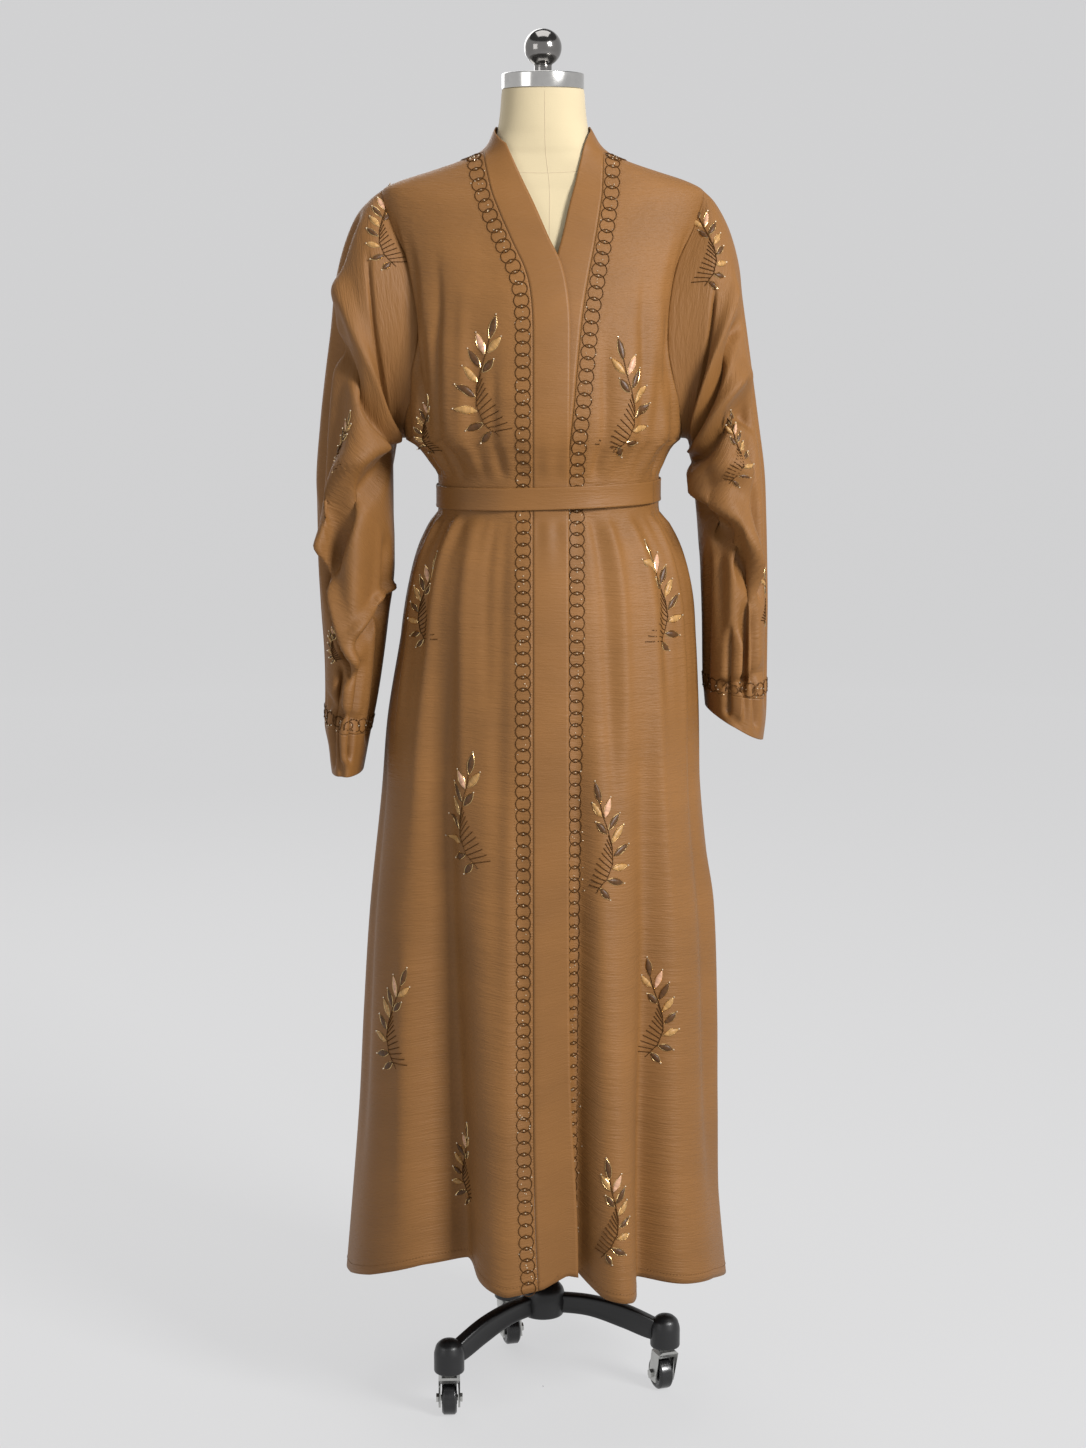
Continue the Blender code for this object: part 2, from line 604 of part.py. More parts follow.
def finish_mesh(obj, name, material_name, angle=40.0):
    """Turns an object with modifiers, or a curve, into a plain mesh object."""
    depsgraph = bpy.context.evaluated_depsgraph_get()
    mesh = bpy.data.meshes.new_from_object(obj.evaluated_get(depsgraph))
    work = bmesh.new()
    work.from_mesh(mesh)
    bmesh.ops.remove_doubles(work, verts=work.verts, dist=0.00002)
    bmesh.ops.recalc_face_normals(work, faces=work.faces)
    work.to_mesh(mesh)
    work.free()
    made = bpy.data.objects.new(name, mesh)
    made.matrix_world = obj.matrix_world.copy()
    made.location, made.rotation_euler = obj.location, obj.rotation_euler
    bpy.context.scene.collection.objects.link(made)
    bpy.data.objects.remove(obj)
    made.name = name
    return finish(made, material_name, angle)


def outline_solid(name, points, half, material_name):
    """Flat outline in the XZ plane, given thickness both ways along Y."""
    curve = bpy.data.curves.new(name, "CURVE")
    curve.dimensions = "2D"
    curve.fill_mode = "BOTH"
    curve.extrude = half
    line = curve.splines.new("POLY")
    line.points.add(len(points) - 1)
    for spot, (x, z) in zip(line.points, points):
        spot.co = (x, z, 0.0, 1.0)
    line.use_cyclic_u = True
    obj = bpy.data.objects.new(name, curve)
    bpy.context.scene.collection.objects.link(obj)
    obj.rotation_euler = (math.pi / 2, 0.0, 0.0)
    bpy.context.view_layer.update()
    made = finish_mesh(obj, name, material_name)
    made.data.transform(made.rotation_euler.to_matrix().to_4x4())
    made.rotation_euler = (0.0, 0.0, 0.0)
    return made


def join_solids(first, others):
    """Unites solids that overlap into one closed piece."""
    for other in others:
        union = first.modifiers.new("join", "BOOLEAN")
        union.operation, union.object, union.solver = "UNION", other, "EXACT"
        bpy.context.view_layer.update()
        depsgraph = bpy.context.evaluated_depsgraph_get()
        mesh = bpy.data.meshes.new_from_object(first.evaluated_get(depsgraph))
        first.modifiers.clear()
        first.data = mesh
        bpy.data.objects.remove(other)
    work = bmesh.new()
    work.from_mesh(first.data)
    bmesh.ops.remove_doubles(work, verts=work.verts, dist=0.00001)
    bmesh.ops.dissolve_degenerate(work, dist=0.00001, edges=work.edges)
    work.to_mesh(first.data)
    work.free()
    first.data.shade_smooth()
    first.data.set_sharp_from_angle(angle=math.radians(40.0))
    return first


def leg_end(index):
    turn = math.radians(LEG_ANGLES[index])
    return LEG_REACH * math.cos(turn), HUB_Y + LEG_REACH * math.sin(turn)


def base():
    """Hub with three arched legs, each ending in a domed caster boss."""
    hub = turned("base", [(0.0, 0.142), (0.020, 0.142), (0.027, 0.134), (0.030, 0.120),
                          (0.027, 0.098), (0.0, 0.098)], "black_satin_paint", 24)
    hub.location = (0.0, HUB_Y, 0.0)
    outline = [(0.0, 0.128), (0.060, 0.126), (0.105, 0.117), (0.140, 0.103), (LEG_REACH, 0.092),
               (LEG_REACH, 0.069), (0.140, 0.073), (0.105, 0.086), (0.060, 0.100), (0.0, 0.103)]
    extras = []
    for index, angle in enumerate(LEG_ANGLES):
        arm = outline_solid(f"arm_{index}", outline, 0.009, "black_satin_paint")
        arm.rotation_euler = (0.0, 0.0, math.radians(angle))
        arm.location = (0.0, HUB_Y, 0.0)
        x, y = leg_end(index)
        r = BOSS_RADIUS
        boss = turned(f"boss_{index}", [(0.0, 0.106), (r * 0.45, 0.1045), (r * 0.8, 0.099),
                                        (r, 0.088), (r, BOSS_BOTTOM + 0.002),
                                        (r * 0.93, BOSS_BOTTOM), (0.0, BOSS_BOTTOM)],
                      "black_satin_paint", 20)
        boss.location = (x, y, 0.0)
        extras += [arm, boss]
    join_solids(hub, extras)


def fork(index):
    """U-shaped caster fork with its neck and the axle pin with hexagon ends."""
    name = f"caster_fork_{index + 1}"
    top, inside, cheek = BOSS_BOTTOM - GAP - 0.0035, 0.0470, 0.0026
    half = WHEEL_WIDTH / 2 + 0.0012
    wide = half + cheek
    outline = [(-wide, 0.012), (-half, 0.012), (-half, inside), (half, inside), (half, 0.012),
               (wide, 0.012), (wide, top - 0.004), (wide - 0.004, top), (0.004 - wide, top),
               (-wide, top - 0.004)]
    body = outline_solid(name, outline, 0.010, "zinc_plate")
    for vertex in body.data.vertices:
        vertex.co.y += TRAIL * min(1.0, max(0.0, (top - vertex.co.z) / (top - 0.030)))
        if vertex.co.y < 0.0 and vertex.co.z > inside:
            vertex.co.y -= 0.004
    neck = turned("neck", [(0.0, BOSS_BOTTOM - GAP), (0.009, BOSS_BOTTOM - GAP),
                           (0.009, top - 0.001), (0.0, top - 0.001)], "zinc_plate", 16)
    pin = turned("pin", [(0.0, wide + 0.002), (PIN_RADIUS, wide + 0.002),
                         (PIN_RADIUS, -wide - 0.002), (0.0, -wide - 0.002)], "zinc_plate", 12)
    ends = [turned("nut", [(0.0, 0.0032), (0.0060, 0.0032), (0.0060, -0.0004), (0.0, -0.0004)],
                   "zinc_plate", 6) for _ in range(2)]
    for piece, shift in zip([pin] + ends, (0.0, wide, -wide - 0.0028)):
        piece.rotation_euler = (0.0, math.pi / 2, 0.0)
        piece.location = (shift, TRAIL, WHEEL_RADIUS)
    join_solids(body, [neck, pin] + ends)
    return body


def wheel(index):
    """Solid wheel with rounded tread, a dished face and a bore for the pin."""
    half, r, bore = WHEEL_WIDTH / 2, WHEEL_RADIUS, PIN_RADIUS + GAP
    outer = [(bore, half), (0.009, half), (0.010, half - 0.0012), (r - 0.005, half - 0.0012),
             (r - 0.004, half), (r, half - 0.0026)]
    profile = outer + [(x, -z) for x, z in reversed(outer)]
    mesh = bpy.data.meshes.new("wheel")
    count = len(profile)
    mesh.from_pydata([(x, 0.0, z) for x, z in profile],
                     [(i, (i + 1) % count) for i in range(count)], [])
    obj = bpy.data.objects.new("wheel", mesh)
    bpy.data.collections[COLLECTION].objects.link(obj)
    screw = obj.modifiers.new("turn", "SCREW")
    screw.steps = screw.render_steps = 20
    screw.use_merge_vertices = True
    screw.merge_threshold = 0.00001
    return finish_mesh(obj, f"caster_wheel_{index + 1}", "black_wheel_plastic")


def caster(index):
    """Places one fork and wheel under their boss, on empties at the joint axes."""
    x, y = leg_end(index)
    swivel = bpy.data.objects.new(f"swivel_{index + 1}", None)
    home = bpy.data.collections[COLLECTION]
    home.objects.link(swivel)
    swivel.location = (x, y, 0.0)
    swivel.rotation_euler = (0.0, 0.0, math.radians(CASTER_TURNS[index]))
    body, roller = fork(index), wheel(index)
    body.parent = swivel
    roller.parent = swivel
    roller.location = (0.0, TRAIL, WHEEL_RADIUS)
    roller.rotation_euler = (0.0, math.pi / 2, 0.0)


def stand():
    turned("neck_cap", [(0.0, 1.6957), (0.0490, 1.6957), (0.0505, 1.6945), (0.0505, 1.6780),
                        (0.0495, 1.6763), (0.0, 1.6763)], "polished_steel", 32,
           (0.0, BACK_SHIFT, 0.0))
    ball = [(0.023 * math.sin(math.radians(a)), 1.727 + 0.023 * math.cos(math.radians(a)))
            for a in range(0, 151, 15)]
    turned("cap_knob", ball + [(0.0110, 1.7060), (0.0110, 1.6975), (0.0125, 1.6960),
                               (0.0, 1.6960)], "dark_polished_steel", 20, (0.0, BACK_SHIFT, 0.0))
    turned("pole", [(0.0, 0.8547), (0.030, 0.8547), (0.030, 0.8500), (0.0125, 0.8490),
                    (0.0125, 0.1423), (0.0, 0.1423)], "pole_steel", 20, (0.0, HUB_Y, 0.0))
    base()
    for index in range(len(LEG_ANGLES)):
        caster(index)


def garment():
    back_panel()
    front_panel("front_panel_right", -1, RIGHT_BAND, right_surface)
    front_panel("front_panel_left", 1, LEFT_BAND, left_surface)
    neck_band("neck_band_right", -1, RIGHT_BAND, right_surface)
    neck_band("neck_band_left", 1, LEFT_BAND, left_surface)
    sleeve(-1, "sleeve_right", RIGHT_SLEEVE, RIGHT_SLEEVE_FOLDS, "cuff_band_right", RIGHT_CUFF)
    sleeve(1, "sleeve_left", LEFT_SLEEVE, LEFT_SLEEVE_FOLDS, "cuff_band_left", LEFT_CUFF)
    belt()


def main():
    for obj in list(bpy.data.objects):
        bpy.data.objects.remove(obj)
    home = bpy.data.collections.new(COLLECTION)
    bpy.context.scene.collection.children.link(home)
    form_torso()
    stand()
    garment()


main()
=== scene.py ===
"""Looks of the open-front abaya, its dress form and caster stand."""

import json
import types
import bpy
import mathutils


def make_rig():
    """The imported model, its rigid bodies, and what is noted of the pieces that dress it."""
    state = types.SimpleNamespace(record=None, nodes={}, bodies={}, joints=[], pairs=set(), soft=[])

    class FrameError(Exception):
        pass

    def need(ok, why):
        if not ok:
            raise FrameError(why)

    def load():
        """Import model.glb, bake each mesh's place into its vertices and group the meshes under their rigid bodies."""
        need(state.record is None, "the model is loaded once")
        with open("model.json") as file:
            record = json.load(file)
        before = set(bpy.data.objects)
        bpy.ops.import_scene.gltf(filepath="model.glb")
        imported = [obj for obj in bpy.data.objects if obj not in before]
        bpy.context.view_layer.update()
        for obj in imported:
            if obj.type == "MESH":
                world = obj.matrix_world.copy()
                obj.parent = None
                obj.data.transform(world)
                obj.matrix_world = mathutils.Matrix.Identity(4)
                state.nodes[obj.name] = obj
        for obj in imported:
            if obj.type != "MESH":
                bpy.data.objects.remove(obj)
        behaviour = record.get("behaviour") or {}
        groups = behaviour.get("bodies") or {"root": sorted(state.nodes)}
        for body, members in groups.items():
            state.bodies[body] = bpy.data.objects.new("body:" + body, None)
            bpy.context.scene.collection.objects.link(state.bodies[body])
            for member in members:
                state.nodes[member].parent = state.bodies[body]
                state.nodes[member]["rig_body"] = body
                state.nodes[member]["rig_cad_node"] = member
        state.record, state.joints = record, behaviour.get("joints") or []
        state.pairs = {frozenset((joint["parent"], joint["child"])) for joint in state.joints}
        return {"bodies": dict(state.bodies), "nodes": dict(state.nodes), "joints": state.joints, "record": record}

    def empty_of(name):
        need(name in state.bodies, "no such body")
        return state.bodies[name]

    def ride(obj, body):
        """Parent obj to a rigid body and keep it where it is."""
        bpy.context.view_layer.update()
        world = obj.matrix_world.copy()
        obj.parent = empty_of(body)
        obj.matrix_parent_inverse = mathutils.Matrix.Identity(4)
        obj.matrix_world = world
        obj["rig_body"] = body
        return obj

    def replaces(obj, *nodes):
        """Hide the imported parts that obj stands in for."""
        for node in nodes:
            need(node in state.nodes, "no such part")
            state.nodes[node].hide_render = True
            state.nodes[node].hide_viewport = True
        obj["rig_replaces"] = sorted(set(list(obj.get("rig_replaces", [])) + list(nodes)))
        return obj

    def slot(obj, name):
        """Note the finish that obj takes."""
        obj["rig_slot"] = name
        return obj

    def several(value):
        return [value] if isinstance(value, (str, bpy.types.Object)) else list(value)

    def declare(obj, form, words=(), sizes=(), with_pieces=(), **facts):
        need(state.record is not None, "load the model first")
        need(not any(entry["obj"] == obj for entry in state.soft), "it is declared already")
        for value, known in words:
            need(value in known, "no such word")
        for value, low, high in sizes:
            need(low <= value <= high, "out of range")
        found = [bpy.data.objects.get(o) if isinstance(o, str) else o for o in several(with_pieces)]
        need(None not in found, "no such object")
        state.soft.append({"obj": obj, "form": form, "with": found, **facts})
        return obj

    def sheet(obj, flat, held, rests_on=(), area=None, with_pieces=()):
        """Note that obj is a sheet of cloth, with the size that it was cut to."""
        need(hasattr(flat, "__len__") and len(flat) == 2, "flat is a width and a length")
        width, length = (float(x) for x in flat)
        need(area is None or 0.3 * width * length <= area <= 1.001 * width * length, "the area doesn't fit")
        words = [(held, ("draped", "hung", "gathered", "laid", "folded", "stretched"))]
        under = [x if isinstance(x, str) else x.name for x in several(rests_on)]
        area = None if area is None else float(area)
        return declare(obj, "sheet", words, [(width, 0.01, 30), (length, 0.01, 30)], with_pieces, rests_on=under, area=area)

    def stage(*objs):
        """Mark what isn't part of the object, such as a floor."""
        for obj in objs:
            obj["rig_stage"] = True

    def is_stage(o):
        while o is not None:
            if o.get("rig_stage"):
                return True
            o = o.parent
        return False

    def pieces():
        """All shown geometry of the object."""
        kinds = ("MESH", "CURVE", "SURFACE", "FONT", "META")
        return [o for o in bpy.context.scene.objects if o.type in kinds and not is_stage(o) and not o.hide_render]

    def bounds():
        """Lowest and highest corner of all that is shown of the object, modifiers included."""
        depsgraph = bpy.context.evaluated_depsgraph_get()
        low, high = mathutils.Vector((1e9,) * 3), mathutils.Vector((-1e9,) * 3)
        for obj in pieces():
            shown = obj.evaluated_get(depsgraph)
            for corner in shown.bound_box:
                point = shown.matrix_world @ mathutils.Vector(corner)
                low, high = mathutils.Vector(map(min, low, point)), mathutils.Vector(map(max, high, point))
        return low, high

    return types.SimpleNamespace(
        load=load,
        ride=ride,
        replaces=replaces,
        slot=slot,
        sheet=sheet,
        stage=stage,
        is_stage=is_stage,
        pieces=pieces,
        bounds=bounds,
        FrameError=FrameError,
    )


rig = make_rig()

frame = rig.load()

import json
import math
from collections import namedtuple

import bmesh
import bpy
import numpy as np
from bpy.props import FloatProperty, FloatVectorProperty, PointerProperty

bl_info = {
    "name": "Belted abaya on a dress form",
    "version": (1, 0, 0),
    "blender": (4, 5, 0),
    "location": "View3D > Sidebar > Abaya",
    "description": "Builds the cloth, beadwork, dress form and stand round their fixed frame",
    "category": "Object",
}

BODY = "stand"
# Slit between two pieces of cloth, and the rise of the right front over the left.
GAP, WRAP = 0.0003, 0.0034
UNDERARM, SHOULDER, NECK, HEM_ROW = 1.251, 1.556, 1.599, 0.19
BELT_HEIGHT, BELT_WIDTH = 1.183, 0.027
BACK_SHIFT = 0.0039
ARM_DIP = 32.0
# Gain of the creases on body and sleeves; millimetres a degree and along a sleeve.
CREASE_GAIN, ARM_GAIN = 1.45, 1.9
ARM_DEGREE, ARM_LENGTH = 1.3, 480.0
# Pitch and ring radius of the beaded chains, and their distance from the band's seam.
FRONT_CHAIN, CUFF_CHAIN = (0.0146, 0.0091), (0.0142, 0.0086)
CHAIN_AWAY = 0.0118
CAMERA_PLACE, CAMERA_DOWN = (0.0, -3.4, 1.42), 8.9
FOCAL_PIXELS, PHOTO_HEIGHT = 2702.0, 1448.0
# Lights: name, place, height aimed at, size, power.
LIGHTS = (
    ("key_light", (2.6, -2.7, 2.9), 1.0, 1.2, 270.0),
    ("fill_light", (-3.0, -2.6, 1.9), 1.0, 1.9, 22.0),
    ("top_light", (0.0, 0.2, 4.2), 0.8, 2.4, 46.0),
    ("back_light", (-1.2, 3.0, 2.6), 1.0, 2.2, 40.0),
)
HUB_Y = 0.008
LEG_REACH = 0.162
LEG_ANGLES = (222.0, 352.0, 107.0)
CASTER_TURNS = (2.0, 22.0, 195.0)
TRAIL, WHEEL_RADIUS = 0.012, 0.0215

# Cloth rings: height, half width right and left, front and back depth.
RINGS = np.array((
    (0.140, 0.260, 0.242, 0.216, 0.208), (0.285, 0.247, 0.228, 0.209, 0.200),
    (0.395, 0.238, 0.223, 0.202, 0.193), (0.520, 0.231, 0.221, 0.194, 0.186),
    (0.650, 0.222, 0.216, 0.186, 0.178), (0.800, 0.206, 0.201, 0.175, 0.170),
    (0.900, 0.197, 0.195, 0.166, 0.162), (1.000, 0.180, 0.190, 0.154, 0.152),
    (1.060, 0.170, 0.185, 0.146, 0.145), (1.110, 0.157, 0.172, 0.137, 0.135),
    (1.145, 0.140, 0.155, 0.127, 0.121), (1.162, 0.131, 0.145, 0.121, 0.112),
    (1.202, 0.131, 0.145, 0.121, 0.112), (1.228, 0.145, 0.153, 0.129, 0.114),
    (1.242, 0.158, 0.162, 0.134, 0.115), (1.251, 0.172, 0.172, 0.137, 0.116),
    (1.280, 0.177, 0.176, 0.140, 0.116), (1.330, 0.180, 0.179, 0.136, 0.115),
    (1.400, 0.184, 0.183, 0.122, 0.112), (1.460, 0.190, 0.189, 0.104, 0.106),
    (1.520, 0.198, 0.198, 0.079, 0.092), (1.546, 0.200, 0.200, 0.067, 0.083),
    (1.556, 0.197, 0.196, 0.062, 0.079), (1.566, 0.176, 0.176, 0.058, 0.075),
    (1.577, 0.141, 0.142, 0.055, 0.071), (1.588, 0.108, 0.109, 0.053, 0.068),
    (1.599, 0.081, 0.083, 0.052, 0.066), (1.632, 0.0570, 0.0570, 0.0530, 0.0590),
))
FORM_RINGS = np.array((
    (0.855, 0.152, 0.152, 0.120, 0.122), (0.862, 0.158, 0.158, 0.126, 0.128),
    (0.920, 0.166, 0.166, 0.132, 0.134), (1.000, 0.160, 0.160, 0.126, 0.128),
    (1.080, 0.142, 0.142, 0.114, 0.110), (1.130, 0.126, 0.126, 0.105, 0.096),
    (1.183, 0.116, 0.116, 0.100, 0.088), (1.230, 0.124, 0.124, 0.110, 0.092),
    (1.300, 0.146, 0.146, 0.129, 0.102), (1.380, 0.158, 0.158, 0.118, 0.104),
    (1.450, 0.170, 0.170, 0.099, 0.100), (1.510, 0.182, 0.182, 0.0755, 0.0895),
    (1.540, 0.188, 0.188, 0.0625, 0.0790), (1.553, 0.183, 0.183, 0.0570, 0.0750),
    (1.565, 0.168, 0.168, 0.0545, 0.0715), (1.576, 0.135, 0.135, 0.0520, 0.0680),
    (1.588, 0.1015, 0.1015, 0.0503, 0.0650), (1.598, 0.0765, 0.0765, 0.0493, 0.0625),
    (1.607, 0.0665, 0.0665, 0.0500, 0.0610), (1.620, 0.0585, 0.0585, 0.0500, 0.0580),
    (1.632, 0.0550, 0.0550, 0.0505, 0.0560), (1.650, 0.0525, 0.0525, 0.0500, 0.0535),
    (1.676, 0.0505, 0.0505, 0.0490, 0.0505),
))
# Large folds: angle at hem and top, half width, depth at hem, top height, growth power.
FOLDS = np.array((
    (-28.0, -41.0, 8.5, -0.052, 1.09, 0.8), (-54.0, -60.0, 14.0, 0.010, 0.95, 1.0),
    (-11.0, -14.0, 9.0, 0.014, 1.00, 1.0), (21.5, 20.0, 6.5, 0.022, 0.95, 0.9),
    (34.5, 38.0, 5.5, -0.038, 0.98, 0.9), (53.0, 56.0, 11.0, 0.006, 0.90, 1.0),
    (121.0, 118.0, 8.0, -0.030, 1.06, 0.8), (149.0, 146.0, 8.0, -0.042, 1.10, 0.8),
    (176.0, 174.0, 10.0, 0.012, 1.00, 1.0), (203.0, 205.0, 8.5, -0.044, 1.10, 0.8),
    (232.0, 236.0, 8.0, -0.032, 1.06, 0.8),
))
UNDER_FOLD = np.array(((11.5, 13.0, 4.2, -0.026, 1.05, 0.8),))
# Bodice folds: angle, half width, depth, low and high end.
BODICE_FOLDS = np.array((
    (-52.0, 6.0, -0.006, 1.215, 1.52), (-38.0, 5.0, 0.004, 1.215, 1.42),
    (-27.0, 5.0, -0.004, 1.215, 1.40), (50.0, 6.0, -0.005, 1.215, 1.50),
    (34.0, 5.0, 0.004, 1.215, 1.40), (140.0, 7.0, -0.005, 1.215, 1.50),
    (220.0, 7.0, -0.005, 1.215, 1.50),
))
HEM = np.array((
    (-90, 0.168), (-70, 0.184), (-53, 0.204), (-38, 0.227), (-28, 0.232), (-20, 0.218),
    (-10, 0.207), (0, 0.215), (7, 0.231), (11, 0.228), (17, 0.202), (25, 0.195),
    (29, 0.197), (34, 0.208), (46, 0.199), (60, 0.190), (75, 0.173), (90, 0.158),
    (105, 0.162), (121, 0.176), (135, 0.165), (149, 0.178), (176, 0.164), (203, 0.178),
    (217, 0.165), (232, 0.176), (250, 0.164), (270, 0.168),
))
# Band rows: height, seam x, free-edge height and x.
RIGHT_BAND = np.array((
    (0.190, -0.006, 0.190, 0.0435), (0.260, -0.009, 0.260, 0.0420),
    (0.460, -0.012, 0.460, 0.0330), (0.820, -0.012, 0.820, 0.0310),
    (1.170, -0.012, 1.170, 0.0305), (1.380, -0.012, 1.380, 0.0320),
    (1.4035, -0.0125, 1.405, 0.0315), (1.451, -0.019, 1.460, 0.0230),
    (1.493, -0.037, 1.498, 0.0060), (1.527, -0.052, 1.536, -0.0100),
    (1.549, -0.061, 1.560, -0.0210), (1.566, -0.066, 1.577, -0.0285),
    (1.588, -0.071, 1.599, -0.0380), (1.599, -0.0725, 1.610, -0.0430),
))
LEFT_BAND = np.array((
    (0.190, 0.0310, 0.190, -0.0060), (0.460, 0.0300, 0.460, -0.0120),
    (0.820, 0.0295, 0.820, -0.0140), (1.200, 0.0295, 1.200, -0.0140),
    (1.310, 0.0385, 1.310, -0.0120), (1.360, 0.0430, 1.362, -0.0100),
    (1.4035, 0.0475, 1.412, -0.0030), (1.451, 0.0550, 1.458, 0.0120),
    (1.493, 0.0630, 1.500, 0.0237), (1.527, 0.0685, 1.536, 0.0320),
    (1.549, 0.0715, 1.560, 0.0385), (1.566, 0.0725, 1.577, 0.0425),
    (1.588, 0.0735, 1.599, 0.0480), (1.599, 0.0740, 1.610, 0.0510),
))
# Sleeve rings after the armhole: outer x and z, inner x and z, half depth, mid y.
RIGHT_SLEEVE = np.array((
    (0.214, 1.543, 0.182, 1.250, 0.069, 0.002), (0.233, 1.521, 0.188, 1.238, 0.073, 0.003),
    (0.249, 1.481, 0.189, 1.215, 0.076, 0.004), (0.259, 1.435, 0.189, 1.185, 0.078, 0.004),
    (0.264, 1.387, 0.189, 1.155, 0.079, 0.004), (0.272, 1.327, 0.188, 1.122, 0.080, 0.003),
    (0.279, 1.265, 0.188, 1.095, 0.080, 0.002), (0.284, 1.195, 0.190, 1.065, 0.080, 0.000),
    (0.284, 1.118, 0.195, 1.032, 0.080, -0.002), (0.281, 1.045, 0.200, 0.992, 0.079, -0.004),
    (0.277, 0.985, 0.206, 0.950, 0.078, -0.006), (0.276, 0.935, 0.212, 0.915, 0.076, -0.008),
    (0.277, 0.893, 0.219, 0.882, 0.074, -0.010), (0.272, 0.862, 0.224, 0.857, 0.072, -0.011),
    (0.268, 0.832, 0.229, 0.832, 0.070, -0.012),
))
LEFT_SLEEVE = np.array((
    (0.213, 1.539, 0.181, 1.249, 0.069, 0.002), (0.230, 1.508, 0.186, 1.232, 0.073, 0.003),
    (0.242, 1.468, 0.188, 1.205, 0.076, 0.004), (0.248, 1.425, 0.192, 1.175, 0.078, 0.004),
    (0.254, 1.385, 0.195, 1.145, 0.079, 0.004), (0.262, 1.328, 0.197, 1.118, 0.080, 0.003),
    (0.270, 1.270, 0.199, 1.095, 0.080, 0.002), (0.278, 1.210, 0.200, 1.070, 0.080, 0.001),
    (0.281, 1.150, 0.201, 1.045, 0.080, 0.000), (0.283, 1.085, 0.202, 1.015, 0.080, 0.000),
    (0.284, 1.030, 0.2025, 0.985, 0.079, 0.000), (0.284, 0.970, 0.203, 0.958, 0.078, 0.000),
    (0.284, 0.925, 0.204, 0.940, 0.076, 0.000), (0.283, 0.897, 0.2055, 0.926, 0.075, 0.000),
    (0.280, 0.870, 0.207, 0.912, 0.074, 0.000),
))
# Sleeve folds: ring angle, half width, depth, place along the sleeve, length.
RIGHT_SLEEVE_FOLDS = np.array((
    (58.0, 16.0, -0.011, 0.45, 0.22), (95.0, 16.0, 0.006, 0.45, 0.25),
    (130.0, 15.0, -0.009, 0.62, 0.25), (80.0, 14.0, -0.008, 0.85, 0.20),
    (250.0, 18.0, -0.010, 0.50, 0.25), (300.0, 16.0, -0.008, 0.75, 0.25),
))
LEFT_SLEEVE_FOLDS = np.array((
    (50.0, 15.0, -0.009, 0.40, 0.22), (120.0, 14.0, -0.010, 0.50, 0.20),
    (85.0, 15.0, -0.009, 0.75, 0.25), (245.0, 18.0, -0.010, 0.50, 0.25),
    (295.0, 16.0, -0.008, 0.72, 0.25),
))
